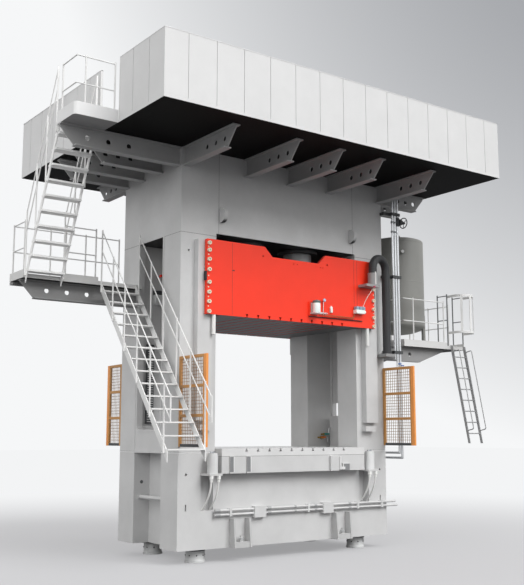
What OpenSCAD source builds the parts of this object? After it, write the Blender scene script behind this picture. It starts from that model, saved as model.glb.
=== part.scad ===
// Hydraulic press: bed, two columns, crown with four plungers, slide, roof room, stairs and tank.
// Millimetres. X to the right seen from the front, the front faces -Y, Z up.
// The origin lies on the floor, in the middle of the four levelling feet.

/* [Press frame] */
// Width of bed, columns and crown
frame_w = 5760; // [5500:10:6200]
// Depth of bed, columns and crown
frame_d = 2520; // [2400:10:2800]
// Height of the levelling feet
foot_h = 285; // [200:5:400]
// Diameter of the levelling feet
foot_d = 430; // [360:5:450]
// Feet from the middle along X
foot_x = 2210; // [2150:5:2240]
// Feet from the middle along Y
foot_y = 882; // [800:2:900]
// Bore for the anchor bolt in each foot
anchor_d = 48; // [30:1:60]
// Height of the bed at the columns
bed_h = 1930; // [1850:10:2100]
// Height of the columns
column_h = 4620; // [4550:10:5000]
// Height of the crown
crown_h = 1845; // [1800:10:2100]
// Width of each column
column_w = 890; // [850:10:950]
// Depth of each column leg
leg_d = 680; // [640:10:720]
// Plate thickness of the column legs
leg_wall = 60; // [30:5:90]
// Thickness of the web between the legs
web_t = 130; // [60:10:200]
// Height of the sill under the opening in the web
sill_h = 495; // [400:5:600]
// Height of the valve box on the right column's foot
box_h = 810; // [600:10:900]
// Gap between the valve box and the cover over it
box_gap = 325; // [200:5:400]
// Diameter of the tie rods
tie_d = 200; // [150:10:220]
// Diameter of the tie rod nuts
tie_nut_d = 340; // [300:10:360]
// Height of the tie rod nuts
tie_nut_h = 180; // [120:10:200]

/* [Bolster] */
// Gap between the bolster and the columns
bolster_gap = 15; // [5:1:60]
// How far bolster and slide stand out in front of the frame
table_over = 248; // [230:2:280]
// Height of the bolster box
bolster_box_h = 350; // [300:10:380]
// Thickness of the bolster plate
bolster_plate_t = 160; // [120:5:180]
// Spacing of the T-slots
slot_pitch = 300; // [260:10:320]
// Number of T-slots
slot_count = 10; // [2:2:12]
// Width of a T-slot's neck
slot_w = 36; // [28:2:42]

/* [Slide] */
// How far the slide's plates reach past the opening on each side
slide_lap = 386; // [360:2:420]
// Height of the slide's front and rear plates
slide_h = 1605; // [1550:5:1620]
// Height of the slide's body between the plates
slide_body_h = 1255; // [1200:5:1300]
// Thickness of the front and rear plates
slide_plate_t = 90; // [80:2:110]
// Daylight between bolster and slide when open
daylight = 2780; // [2700:10:2800]
// Diameter of the plungers
plunger_d = 660; // [600:10:680]
// Plungers from the middle along X
plunger_x = 790; // [750:10:850]
// Plungers from the middle along Y
plunger_y = 550; // [520:10:600]
// Wall of the cylinder barrels
barrel_wall = 95; // [70:5:110]
// Diameter of the contact rods under the slide
contact_rod_d = 84; // [60:2:86]
// Length of the contact rods
contact_rod_l = 425; // [300:5:500]

/* [Guides and corner cylinders] */
// Width of a guide rail
rail_w = 370; // [300:10:400]
// Thickness of the sliding pads behind the plates
gib_t = 13; // [8:1:20]
// Height of the guide rails
rail_h = 3825; // [3500:5:4000]
// Corner cylinders from the column's inner face
corner_in = 184; // [150:2:200]
// Diameter of the corner cylinders
corner_d = 225; // [200:5:240]
// Height of the corner cylinders
corner_h = 410; // [360:5:430]
// Diameter of the corner cylinders' plungers
level_d = 110; // [80:2:130]

/* [Roof room] */
// Roof beyond the frame on the left
roof_left_over = 1820; // [1700:10:2000]
// Roof beyond the frame on the right
roof_right_over = 1665; // [1600:5:1800]
// Roof beyond the frame at the front
roof_front_over = 2365; // [2200:5:2600]
// Roof beyond the frame at the rear
roof_rear_over = 1880; // [1800:10:2000]
// Height of the roof walls
roof_wall_h = 1295; // [1200:5:1450]
// Thickness of the roof floor
roof_floor_t = 60; // [40:5:90]
// Thickness of the wall panels
panel_t = 50; // [30:5:70]
// Width of the wall panels
panel_pitch = 634; // [600:2:660]
// Width of the joint between panels
panel_joint = 12; // [6:1:20]
// Height of the roof brackets at the crown
bracket_h = 410; // [360:10:440]
// Width of the bracket flanges
flange_w = 180; // [140:5:200]
// Inner front brackets from the middle along X
beam_x = 1180; // [1000:10:1300]
// Inner side brackets from the middle along Y
beam_y = 390; // [300:10:480]
// Thickness of bracket flanges and webs
flange_t = 25; // [16:1:30]

/* [Stairs and landing] */
// Landing beyond the frame
landing_over = 2755; // [2700:5:2850]
// Front edge of the landing
landing_front = 400; // [380:5:420]
// Rear edge of the landing, in from the frame's rear
landing_in = 90; // [60:5:120]
// Landing deck below the column tops
landing_drop = 945; // [900:5:1000]
// Gap between the lower stair and the frame
stair_gap = 145; // [120:5:200]
// Width of the lower stair
stair_w = 865; // [800:5:890]
// Width of the upper stair
upper_w = 800; // [760:5:820]
// Horizontal run of the lower stair
stair_run = 2940; // [2850:10:3000]
// Height of the lower stair's foot above the bed
stair_rise0 = 75; // [40:5:120]
// Number of treads of the lower stair
stair_treads = 14; // [10:1:16]
// Number of treads of the upper stair
upper_treads = 10; // [8:1:12]
// Height of the deck railings
deck_rail_h = 1150; // [900:10:1200]
// Height of the stair handrails above the stringers
stair_rail_h = 1230; // [900:10:1300]
// Diameter of railing posts
post_d = 34; // [30:1:40]
// Diameter of the rails between them
rail_d = 26; // [22:1:30]
// Thickness of the decks
deck_t = 85; // [70:5:100]
// Height of the toe boards above the decks
toe_h = 85; // [60:5:120]

/* [Tank platform] */
// Gap between the frame and the tank platform
platform_gap = 628; // [600:2:660]
// Width of the tank platform
platform_w = 2162; // [2130:2:2250]
// Front edge of the platform, out from the frame
platform_out = 90; // [70:5:130]
// Rear edge of the platform from the middle
platform_rear = 600; // [570:10:700]
// Platform deck above the bed
platform_h = 2640; // [2600:5:2700]
// Radius of the pressure tank
tank_r = 700; // [650:5:710]
// Tank axis from the platform's inner edge
tank_in = 740; // [730:2:760]
// Height of the tank's straight shell
tank_shell_h = 2180; // [2000:5:2400]
// Height of each dished end
tank_head_h = 120; // [100:10:300]
// Space under the tank
tank_clear = 425; // [300:5:500]
// Width of the ladder
ladder_w = 472; // [420:2:500]
// Spacing of the ladder rungs
rung_pitch = 277; // [250:1:300]
// Height of the ladder
ladder_h = 2460; // [2300:10:2500]

/* [Guards and brackets] */
// Height of the side guards
guard_h = 1835; // [1600:5:1900]
// Thickness of the side guards
guard_t = 50; // [30:5:60]
// Width of the guards' frame bars
guard_bar = 60; // [40:5:80]
// Width of the post at the guards' free end
guard_post = 135; // [90:5:160]
// Length of the front guards
guard_front = 1035; // [900:5:1100]
// Length of the rear guards
guard_rear = 700; // [600:5:800]
// Jack brackets from the middle along X
jack_x = 1395; // [1350:5:1450]
// Lubricator's plate from the middle along X
lube_x = 340; // [300:5:360]
// Clamp on the bolster's front from the middle along X
clamp_x = 1055; // [1000:5:1100]

/* [Pipes and hoses] */
// Outer diameter of the riser pipes
riser_d = 55; // [40:1:60]
// Spacing of the riser pipes
riser_pitch = 85; // [80:1:92]
// First riser pipe from the frame
riser_out = 215; // [205:5:230]
// Outer diameter of the drag hose
hose_d = 216; // [180:2:220]
// Diameter of the handwheel
wheel_d = 280; // [220:10:320]

/* [Hidden] */
$fn = 48;
eps = 0.01;
fit = 0.3;

half_w = frame_w / 2;
half_d = frame_d / 2;
half_open = half_w - column_w;
half_table = half_d + table_over;
recess_y = half_d - leg_d;
bed_top = foot_h + bed_h;
column_top = bed_top + column_h;
roof_z = column_top + crown_h;
deck_z = roof_z + roof_floor_t;
roof_top = deck_z + roof_wall_h;
recess_depth = column_w - 505;
web_in = 10;
web_x = half_w - web_in - web_t;
jamb = 70;
rim_w = 45;
tie_x = half_w - tie_nut_d / 2 - 70;
tie_y = half_d - leg_d / 2;
tie_fit = 5;
nut_depth = tie_nut_h + 30;
crown_step = 60;
lug_x = half_open - 132;
lug_z = column_top + 479;
lug_r = 162;
pocket_z = foot_h + 775;
pocket_depth = 180;

bolster_w = 2 * (half_open - bolster_gap);
bolster_top = bed_top + 100;
plate_z = bolster_top - bolster_plate_t;
bolster_seat = plate_z - bolster_box_h;
slot_neck = 40;
slot_head_w = slot_w + 26;
slot_head_h = 30;
strip_z = bolster_top - slot_neck - slot_head_h;

slide_w = 2 * (half_open + slide_lap);
slide_z = bolster_top + daylight;
slide_top = slide_z + slide_h;
slide_deck = slide_z + slide_body_h;
plate_back = half_table - slide_plate_t;
notch_top = 870;
notch_bottom = 660;
notch_depth = 210;
barrel_d = plunger_d + 2 * barrel_wall;
plunger_top = roof_z - 180;
lube_z = slide_z + 165;
lube_t = 25;
lube_w = slide_w / 2 - 401 - lube_x;
bolt_d = 84;
bolt_l = 45;
bolt_rows = [0.035, 0.165, 0.29, 0.42, 0.59, 0.725, 0.848, 0.945];

rail_x = half_open + 175;
rail_face = plate_back - gib_t;
rail_top = column_top - 130;
gib_w = min(slide_w / 2 - rail_x - 15, rail_w - 20);
corner_x = half_open + corner_in;
corner_y = half_table - slide_plate_t / 2;
corner_z = bolster_seat + 10;
corner_floor = 50;
level_l = 300;
level_proud = 35;
ledge_t = 45;
ledge_z = corner_z - ledge_t;

roof_left = half_w + roof_left_over;
roof_right = half_w + roof_right_over;
roof_front = half_d + roof_front_over;
roof_rear = half_d + roof_rear_over;
bracket_tip = 320;
roof_beam_x = [-half_w + 105, -beam_x, 0, beam_x, half_w - 105];
roof_beam_y = [-half_d + 110, -beam_y, beam_y, half_d - 110];
door_y = [-half_d - 590, -half_d + 245];
oil_x = half_open - 290;
manifold_x = half_w - 580;
cabinet_x = roof_left - 1000;
pump_x = [-oil_x + 200, -500, 500, oil_x - 200];

landing_x = half_w + landing_over;
landing_rear = half_d - landing_in;
landing_z = column_top - landing_drop;
stair_x = half_w + stair_gap + stair_w;
stair_z = bed_top + stair_rise0;
stair_rise = landing_z - 10 - stair_z;
upper_x = landing_x - 35;
top_rear = -half_d + 215;
top_front = -half_d - 580;
top_z = roof_z + deck_t;
upper_run = landing_front - top_rear;
upper_rise = top_z - 10 - landing_z;
stringer_d = 200;
stringer_t = 20;
tread_d = 220;
tread_t = 26;
upper_tread_t = 40;
toe_t = 12;
rail_in = 45;
mesh_cols = 5;
mesh_rows = 6;

platform_x = half_w + platform_gap;
platform_end = platform_x + platform_w;
platform_front = half_d + platform_out;
platform_z = bed_top + platform_h;
tank_x = platform_x + tank_in;
tank_y = (platform_rear - platform_front) / 2;
tank_z = platform_z + tank_clear + tank_head_h;
tank_leg = tank_r * 0.7 - 60;
nozzle_turn = 32;
tank_foot = -tank_head_h - tank_clear;
arm_w = 120;
arm_h = 370;
ladder_x = platform_end - 30;
ladder_lean = 0.195;
cage_h = 1350;

riser_x = half_w + riser_out;
riser_y = -half_d - 180;
riser_z = platform_z - 450;
valve_z = roof_z - 840;
wheel_x = riser_x + 2 * riser_pitch + 215;

hose_from = [half_open + 210, -half_table - hose_d / 2 - 50];
hose_to = [half_w - 155, -half_d - 290];
hose_span = norm(hose_to - hose_from);
hose_turn = atan2(hose_to[1] - hose_from[1], hose_to[0] - hose_from[0]);
hose_mid = (hose_from + hose_to) / 2;
arch_z = slide_top - 180;
sleeve_z = arch_z - 410;
sleeve_l = 290;
sleeve_wall = 14;
hose_low = platform_z - deck_t - 260;

function unit(v) = v / norm(v);
function ring(center, ahead, radius, sides) =
    let (flat = norm([ahead[0], ahead[1]]))
    let (side = flat > 1e-6 ? [-ahead[1], ahead[0], 0] / flat : [1, 0, 0])
    let (lift = cross(ahead, side))
    [for (k = [0 : sides - 1])
        center + radius * (cos(360 * k / sides) * side + sin(360 * k / sides) * lift)];

// Box between two opposite corners
module span(a, b) {
    translate([min(a[0], b[0]), min(a[1], b[1]), min(a[2], b[2])])
        cube([abs(b[0] - a[0]), abs(b[1] - a[1]), abs(b[2] - a[2])]);
}

// Round bar from one point to another
module bar(a, b, d) {
    v = b - a;
    translate(a)
        rotate([0, acos(v[2] / norm(v)), atan2(v[1], v[0])])
            cylinder(d = d, h = norm(v));
}

// Round bar along +X, +Y or +Z from a point
module rod_x(p, l, d) {
    translate(p) rotate([0, 90, 0]) cylinder(d = d, h = l);
}

module rod_y(p, l, d) {
    translate(p) rotate([-90, 0, 0]) cylinder(d = d, h = l);
}

module rod_z(p, l, d) {
    translate(p) cylinder(d = d, h = l);
}

// Copies of the children on the left and right
module both_sides() {
    children();
    mirror([1, 0, 0]) children();
}

// Copies of the children at the rear and front
module both_ends() {
    children();
    mirror([0, 1, 0]) children();
}

// Copies of the children in all four quadrants, drawn at +X and +Y
module quadrants() {
    both_ends() both_sides() children();
}

// Hose swept along a list of points
module hose(points, d, sides) {
    last = len(points) - 1;
    heads = [for (i = [0 : last]) unit(points[min(i + 1, last)] - points[max(i - 1, 0)])];
    skin = [for (i = [0 : last]) each ring(points[i], heads[i], d / 2, sides)];
    walls = [for (i = [0 : last - 1], k = [0 : sides - 1])
        let (a = i * sides, b = a + sides, n = (k + 1) % sides)
        [a + k, b + k, b + n, a + n]];
    first_cap = [for (k = [0 : sides - 1]) k];
    last_cap = [for (k = [sides - 1 : -1 : 0]) last * sides + k];
    polyhedron(points = skin, faces = concat(walls, [first_cap, last_cap]));
}

// T-slots along Y, open at the top, whose upper edge lies at z = 0
module t_slots(reach) {
    for (k = [0 : slot_count - 1])
        translate([(k - (slot_count - 1) / 2) * slot_pitch, 0, 0]) {
            span([-slot_w / 2, -reach, -slot_neck - eps], [slot_w / 2, reach, 1]);
            span([-slot_head_w / 2, -reach, -slot_neck - slot_head_h - eps],
                [slot_head_w / 2, reach, -slot_neck]);
        }
}

// Railing between two points on a deck: a post at each end and at every bay, top rail and mid rail
module railing(a, b, bays) {
    for (k = [0 : bays])
        let (p = a + (b - a) * k / bays)
            rod_z(p, deck_rail_h, post_d);
    for (share = [0.5, 1])
        let (lift = [0, 0, (deck_rail_h - post_d) * share])
            bar(a + lift, b + lift, rail_d);
}

// Top rail and mid rail around a corner between two posts
module rail_corner(a, b, c) {
    for (share = [0.5, 1])
        let (lift = [0, 0, (deck_rail_h - post_d) * share]) {
            bar(a + lift, b + lift, rail_d);
            bar(c + lift, b + lift, rail_d);
            translate(b + lift) sphere(d = rail_d);
        }
}

// Cantilever I-bracket along +X from the origin: top face at z = 0, tapered tip, round holes in the web
module cantilever(length, height, width, taper, holes) {
    rotate([90, 0, 0])
        translate([0, 0, -flange_t / 2])
            linear_extrude(flange_t)
                difference() {
                    polygon([[0, 0], [length, 0], [length, -flange_t * 2], [length - taper, -height],
                        [0, -height]]);
                    for (k = [1 : holes])
                        translate([length * (0.27 + 0.17 * k), -height / 2])
                            circle(d = height * 0.27);
                }
    span([0, -width / 2, -flange_t], [length, width / 2, 0]);
    span([0, -width / 2, -height], [length - taper, width / 2, -height + flange_t]);
}

// Straight stair along +Y from the origin between two stringers, a tread per step of the given
// thickness, its underside at a share of the stringers' depth below their top line
module stair(width, run, rise, treads, thick, share) {
    for (x = [0, width - stringer_t])
        translate([x, 0, 0])
            rotate([90, 0, 90])
                linear_extrude(stringer_t)
                    polygon([[0, 0], [run, rise], [run, rise - stringer_d], [0, -stringer_d]]);
    for (k = [1 : treads])
        let (y = run * (k - 0.5) / treads, z = rise * (k - 0.5) / treads - stringer_d * share)
            span([stringer_t / 2, y - tread_d / 2, z],
                [width - stringer_t / 2, y + tread_d / 2, z + thick]);
}

// Handrail beside a stringer whose outer face lies at x = 0, on the -X side of it; the rails run on
// past the lowest post by the given length and end in an upright
module stair_rail(run, rise, bays, past) {
    x = -8 - post_d / 2;
    slope = rise / run;
    y0 = run * 0.03;
    y1 = run * 0.97;
    for (k = [0 : bays])
        let (y = y0 + (y1 - y0) * k / bays, z = slope * y) {
            rod_z([x, y, z - stringer_d * 0.7], stair_rail_h + stringer_d * 0.7, post_d);
            span([x, y - 18, z - stringer_d * 0.7], [0, y + 18, z - stringer_d * 0.2]);
        }
    for (share = [0.65, 1])
        let (lift = stair_rail_h * share - post_d)
            bar([x, y0 - past, slope * (y0 - past) + lift], [x, y1, slope * y1 + lift], rail_d);
    if (past > 0)
        rod_z([x, y0 - past, slope * (y0 - past) + stair_rail_h * 0.65 - post_d - 40],
            stair_rail_h * 0.35 + 80, rail_d + 6);
}

// Bed: solid block with the bolster seat cut in, side recesses, hose pockets and corner ledges
module bed() {
    color("#d6d6d6")
    difference() {
        union() {
            span([-half_w, -half_d, foot_h], [half_w, half_d, bed_top]);
            quadrants()
                span([corner_x - 160, half_d - 1, ledge_z],
                    [corner_x + 160, corner_y + 140, corner_z]);
        }
        span([-half_open, -half_d - 1, bolster_seat], [half_open, half_d + 1, bed_top + 1]);
        both_sides()
            span([half_w - recess_depth, -recess_y, foot_h - 1], [half_w + 1, recess_y, bed_top + 1]);
        quadrants() {
            span([corner_x - 150, half_d - pocket_depth, pocket_z],
                [corner_x + 150, half_d + 1, ledge_z]);
            rod_z([tie_x, tie_y, foot_h - 1], bed_h + 2, tie_d + 2 * tie_fit);
            rod_z([tie_x, tie_y, foot_h - 1], nut_depth + 1, tie_nut_d + 2 * tie_fit);
            rod_y([half_w - 196, half_d - 70, bed_top - 423], 71, 56);
            span([half_w - 214, half_d - 50, pocket_z + 5], [half_w - 178, half_d + 1, pocket_z + 135]);
        }
    }
}

// Column drawn on the right: two hollow legs and, near the outside, the web between them, with a tall
// opening up to the crown that has a raised rim and a round sill
module column() {
    difference() {
        union() {
            both_ends()
                span([half_open, recess_y, bed_top], [half_w, half_d, column_top]);
            span([web_x, -recess_y - 1, bed_top], [web_x + web_t, recess_y + 1, column_top]);
            span([half_open, -recess_y - 1, bed_top], [half_w, recess_y + 1, bed_top + 50]);
            translate([web_x + web_t - 1, 0, bed_top + sill_h - rim_w])
                rotate([90, 0, 90])
                    linear_extrude(web_in + 1)
                        round_foot(2 * (recess_y - jamb + rim_w), column_h - sill_h + rim_w, 160);
        }
        both_ends()
            span([half_open + leg_wall, recess_y + leg_wall, bed_top - 1],
                [half_w - leg_wall, half_d - leg_wall, column_top + 1]);
        translate([web_x - 1, 0, bed_top + sill_h])
            rotate([90, 0, 90])
                linear_extrude(web_t + web_in + 2)
                    round_foot(2 * (recess_y - jamb), column_h - sill_h + 1, 120);
        both_ends()
            rod_y([half_w - 196, half_d - leg_wall - 1, column_top - 385], leg_wall + 2, 50);
    }
}

// Rectangle standing on y = 0 with round lower corners
module round_foot(w, h, r) {
    translate([-w / 2 + r, 0]) square([w - 2 * r, h]);
    translate([-w / 2, r]) square([w, h - r]);
    for (x = [-w / 2 + r, w / 2 - r])
        translate([x, r]) circle(r = r);
}

module column_left() {
    color("#c9c9c9") mirror([1, 0, 0]) column();
}

// Right column, with a valve box on its foot and a cover over the opening above it
module column_right() {
    color("#c9c9c9")
    union() {
        column();
        span([web_x - 140, -recess_y + jamb + 60, bed_top + 49],
            [web_x + 60, recess_y - jamb - 60, bed_top + 50 + box_h]);
        span([web_x + 30, -recess_y + jamb - 1, bed_top + 50 + box_h + box_gap],
            [web_x + 60, recess_y - jamb + 1, column_top]);
    }
}

// Crown: block over the columns with bores for the four barrels and half-round lifting lugs
module crown() {
    color("#c9c9c9")
    difference() {
        union() {
            span([-half_w, -half_d, column_top], [half_w, half_d, roof_z]);
            quadrants() {
                rod_x([lug_x - 45, half_d + 40, lug_z], 90, 2 * lug_r);
                span([lug_x - 45, half_d - 1, lug_z - lug_r], [lug_x + 45, half_d + 40, lug_z + lug_r]);
            }
        }
        span([-half_open, -half_d - 1, column_top - 1], [half_open, half_d + 1, column_top + crown_step]);
        quadrants() {
            rod_z([plunger_x, plunger_y, column_top], crown_h + 1, barrel_d + 2 * fit);
            rod_z([tie_x, tie_y, column_top - 1], crown_h + 2, tie_d + 2 * tie_fit);
            rod_z([tie_x, tie_y, roof_z - nut_depth], nut_depth + 1, tie_nut_d + 2 * tie_fit);
        }
    }
}

// Tie rods through bed, legs and crown, with a nut at each end
module tie_rods() {
    color("#8a8d90")
    quadrants()
        union() {
            rod_z([tie_x, tie_y, foot_h + 20], roof_z - foot_h - 40, tie_d);
            for (z = [foot_h + nut_depth - tie_nut_h, roof_z - nut_depth])
                rod_z([tie_x, tie_y, z], tie_nut_h, tie_nut_d);
        }
}

// Levelling feet with a rim at the top and a bore for the anchor bolt
module feet() {
    color("#8f9193")
    quadrants()
        translate([foot_x, foot_y, 0])
            rotate_extrude()
                polygon([[anchor_d / 2, 0], [foot_d / 2, 0], [foot_d / 2, 45], [foot_d / 2 - 14, 59],
                    [foot_d / 2 - 14, foot_h - 50], [foot_d / 2 - 4, foot_h - 50], [foot_d / 2 - 4, foot_h],
                    [anchor_d / 2, foot_h]]);
}

module bolster_box() {
    color("#cfcfcf")
    union() {
        span([-bolster_w / 2, -half_table, bolster_seat], [bolster_w / 2, half_table, plate_z]);
        both_ends()
            for (x = [-bolster_w / 2 + 240, -bolster_w / 2 + 672])
                span([x - 55, half_table - 1, bolster_seat], [x + 55, half_table + 30, plate_z]);
        span([clamp_x - 135, -half_table - 60, bolster_seat], [clamp_x + 135, -half_table + 1, plate_z - 25]);
        span([clamp_x + 220, -half_table - 50, bolster_seat + 12],
            [clamp_x + 430, -half_table + 1, bolster_seat + 160]);
    }
}

module bolster_plate() {
    color("#dcdcdc")
    span([-bolster_w / 2, -half_table, plate_z], [bolster_w / 2, half_table, strip_z]);
}

// Strips on the plate, undercut, with the T-slots between them
module bolster_strips() {
    color("#dcdcdc")
    difference() {
        span([-bolster_w / 2, -half_table, strip_z], [bolster_w / 2, half_table, bolster_top]);
        translate([0, 0, bolster_top]) t_slots(half_table + 1);
    }
}

// Guide rails on the columns, each with a stop block under it
module guide_rails() {
    color("#b9bbbd")
    quadrants() {
        span([rail_x, half_d, rail_top - rail_h], [rail_x + rail_w, rail_face, rail_top]);
        span([rail_x - 25, half_d, rail_top - rail_h - 200],
            [rail_x + rail_w - 85, rail_face, rail_top - rail_h - 75]);
    }
}

// Cylinder barrels, closed at the top, with a flange under the crown
module cylinder_barrels() {
    color("#a8aaac")
    quadrants()
        translate([plunger_x, plunger_y, column_top])
            rotate_extrude()
                polygon([[plunger_d / 2 + fit, 0], [barrel_d / 2 + 50, 0], [barrel_d / 2 + 50, crown_step],
                    [barrel_d / 2, crown_step], [barrel_d / 2, crown_h - 40], [0, crown_h - 40],
                    [0, crown_h - 140], [plunger_d / 2 + fit, crown_h - 140]]);
}

// Slide: body between the columns, notched front and rear plates, T-slots in its underside
module slide_body() {
    color("#ff4d38")
    difference() {
        union() {
            span([-half_open + bolster_gap, -plate_back - 1, slide_z],
                [half_open - bolster_gap, plate_back + 1, slide_deck]);
            both_ends()
                translate([0, half_table, slide_z])
                    rotate([90, 0, 0])
                        linear_extrude(slide_plate_t)
                            polygon([[-slide_w / 2, 0], [slide_w / 2, 0], [slide_w / 2, slide_h],
                                [notch_top, slide_h], [notch_bottom, slide_h - notch_depth],
                                [-notch_bottom, slide_h - notch_depth], [-notch_top, slide_h],
                                [-slide_w / 2, slide_h]]);
            span([lube_x, -half_table - lube_t, lube_z], [lube_x + lube_w, -half_table + 1, lube_z + 315]);
        }
        translate([0, 0, slide_z]) mirror([0, 0, 1]) t_slots(half_table + 1);
        for (x = [-notch_top - 50, notch_top + 50])
            rod_y([x, -half_table - 1, slide_top - 219], 61, 40);
        for (x = [-66, 35, notch_bottom + 46, notch_bottom + 129])
            rod_y([x, -half_table - 1, slide_top - 300], 61, 26);
    }
}

module slide_bolts() {
    color("#efe6d2")
    quadrants()
        for (share = bolt_rows)
            translate([slide_w / 2 - bolt_d / 2 - 2, half_table, slide_z + slide_h * share])
                rotate([-90, 0, 0])
                    difference() {
                        cylinder(d = bolt_d, h = bolt_l);
                        translate([0, 0, bolt_l - 25]) cylinder(d = bolt_d * 0.55, h = 26, $fn = 6);
                    }
}

module contact_rods() {
    color("#e4e4e4")
    quadrants()
        translate([corner_x, corner_y, slide_z - contact_rod_l])
            rotate_extrude()
                polygon([[0, 0], [contact_rod_d / 2 - 10, 0], [contact_rod_d / 2, 10],
                    [contact_rod_d / 2, contact_rod_l], [0, contact_rod_l]]);
}

module plungers() {
    color("#d9dce0")
    quadrants()
        translate([plunger_x, plunger_y, slide_deck])
            rotate_extrude()
                polygon([[0, 0], [plunger_d / 2 + 70, 0], [plunger_d / 2 + 70, 80], [plunger_d / 2, 80],
                    [plunger_d / 2, plunger_top - slide_deck], [0, plunger_top - slide_deck]]);
}

module slide_gibs() {
    color("#b08a3c")
    quadrants()
        span([rail_x + 10, rail_face + fit, slide_z + 50], [rail_x + 10 + gib_w, plate_back, slide_top - 60]);
}

// Lubricator on the slide's plate: reservoir on its foot, line fittings and valve block
module lube_unit() {
    color("#c4c6c8")
    translate([lube_x, -half_table - lube_t, lube_z]) {
        union() {
            span([40, -190, 40], [250, 0, 70]);
            rod_z([145, -100, 69], 290, 180);
        }
        for (k = [0 : 3])
            rod_y([390 + 90 * k, -70, 210], 70, 50);
        span([lube_w - 295, -120, 150], [lube_w + 5, 0, 315]);
    }
}

module hose_bracket() {
    color("#9b9d9f")
    difference() {
        union() {
            span([hose_from[0] - 330, -half_table, sleeve_z - 60],
                [hose_from[0] + 85, hose_from[1] - hose_d / 2 - 30, sleeve_z]);
            rod_z([hose_from[0], hose_from[1], sleeve_z - 1], sleeve_l + 1, hose_d + 2 * fit + 2 * sleeve_wall);
        }
        rod_z([hose_from[0], hose_from[1], sleeve_z], sleeve_l + 1, hose_d + 2 * fit);
    }
}

module hose_moving_leg() {
    color("#26282a") rod_z([hose_from[0], hose_from[1], sleeve_z], arch_z - sleeve_z, hose_d);
}

module hose_arch() {
    color("#2b2d2f")
    translate([hose_mid[0], hose_mid[1], arch_z])
        rotate([90, 0, hose_turn])
            rotate_extrude(angle = 180)
                translate([hose_span / 2, 0]) circle(d = hose_d);
}

module hose_fixed_leg() {
    color("#26282a") rod_z([hose_to[0], hose_to[1], hose_low], arch_z - hose_low, hose_d);
}

// Roof floor and its panel walls
module roof_deck() {
    color("#f2f2f2")
    span([-roof_left, -roof_front, roof_z], [roof_right, roof_rear, deck_z]);
}

// Wall along X with upright panel joints cut into its outer face, which lies at y = 0
module panel_wall(length, first) {
    difference() {
        span([0, 0, 0], [length, panel_t, roof_wall_h]);
        for (x = [first : panel_pitch : length - 60])
            span([x, -1, -1], [x + panel_joint, panel_t / 4, roof_wall_h + 1]);
    }
}

module roof_wall_front() {
    color("#e2e2e2")
    translate([-roof_left, -roof_front, deck_z])
        panel_wall(roof_left + roof_right, 510);
}

module roof_wall_rear() {
    color("#e2e2e2")
    translate([roof_right, roof_rear, deck_z])
        rotate([0, 0, 180])
            panel_wall(roof_left + roof_right, 510);
}

module roof_wall_left() {
    color("#dcdcdc")
    difference() {
        translate([-roof_left, roof_rear - panel_t, deck_z])
            rotate([0, 0, -90])
                panel_wall(roof_front + roof_rear - 2 * panel_t, 430);
        span([-roof_left - 1, door_y[0], deck_z - 1], [-roof_left + panel_t + 1, door_y[1], roof_top + 1]);
    }
}

module roof_wall_right() {
    color("#dcdcdc")
    translate([roof_right, -roof_front + panel_t, deck_z])
        rotate([0, 0, 90])
            panel_wall(roof_front + roof_rear - 2 * panel_t, 430);
}

// I-brackets that carry the roof floor; the front one on the left also carries the top platform
module roof_brackets() {
    color("#d2d2d2")
    translate([0, 0, roof_z]) {
        for (x = roof_beam_x) {
            translate([x, -half_d, 0])
                rotate([0, 0, -90]) cantilever(roof_front_over - 465, bracket_h, flange_w, bracket_tip, 3);
            translate([x, half_d, 0])
                rotate([0, 0, 90]) cantilever(roof_rear_over - 300, bracket_h, flange_w, bracket_tip, 3);
        }
        for (k = [0 : 3]) {
            translate([-half_w, roof_beam_y[k], 0])
                rotate([0, 0, 180])
                    cantilever(k == 0 ? landing_over : roof_left_over - 70, bracket_h, flange_w,
                        bracket_tip, 3);
            translate([half_w, roof_beam_y[k], 0])
                cantilever(roof_right_over - 70, bracket_h, flange_w, bracket_tip, 3);
        }
    }
}

// Hydraulic set on the roof floor
module oil_tank() {
    color("#bfc3c6")
    translate([0, 0, deck_z]) {
        span([-oil_x, 900, 0], [oil_x, 2500, 900]);
        span([-oil_x - 40, 860, 900], [oil_x + 40, 2540, 930]);
        for (x = [-oil_x + 600, 0, oil_x - 600])
            rod_z([x, 1700, 930], 60, 480);
    }
}

module pump_motors() {
    color("#5f7f9b")
    translate([0, 0, deck_z])
        for (x = pump_x) {
            span([x - 200, -350, 0], [x + 200, 350, 140]);
            rod_y([x, -380, 330], 760, 440);
            span([x + 100, -120, 480], [x + 290, 120, 640]);
        }
}

module pumps() {
    color("#8b8f92")
    translate([0, 0, deck_z])
        for (x = pump_x) {
            rod_y([x, 380, 330], 90, 300);
            rod_y([x, 469, 330], 300, 240);
            span([x - 60, 500, 330], [x + 60, 680, 520]);
            rod_y([x, 768, 330], 132, 110);
        }
}

module valve_manifold() {
    color("#a2a6a8")
    translate([0, 0, deck_z]) {
        span([manifold_x, -900, 0], [manifold_x + 1000, 900, 520]);
        for (y = [-650, -220, 220, 650]) {
            span([manifold_x + 150, y - 110, 520], [manifold_x + 850, y + 110, 640]);
            rod_z([manifold_x + 500, y, 640], 220, 160);
        }
    }
}

module control_cabinet() {
    color("#e6e4da")
    translate([0, 0, deck_z]) {
        span([-cabinet_x, -2700, 0], [-cabinet_x + 550, -500, 60]);
        span([-cabinet_x - 20, -2720, 60], [-cabinet_x + 570, -480, 1180]);
        for (y = [-2700, -1960, -1220])
            span([-cabinet_x - 40, y + 20, 100], [-cabinet_x - 20, y + 700, 1140]);
    }
}

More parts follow.
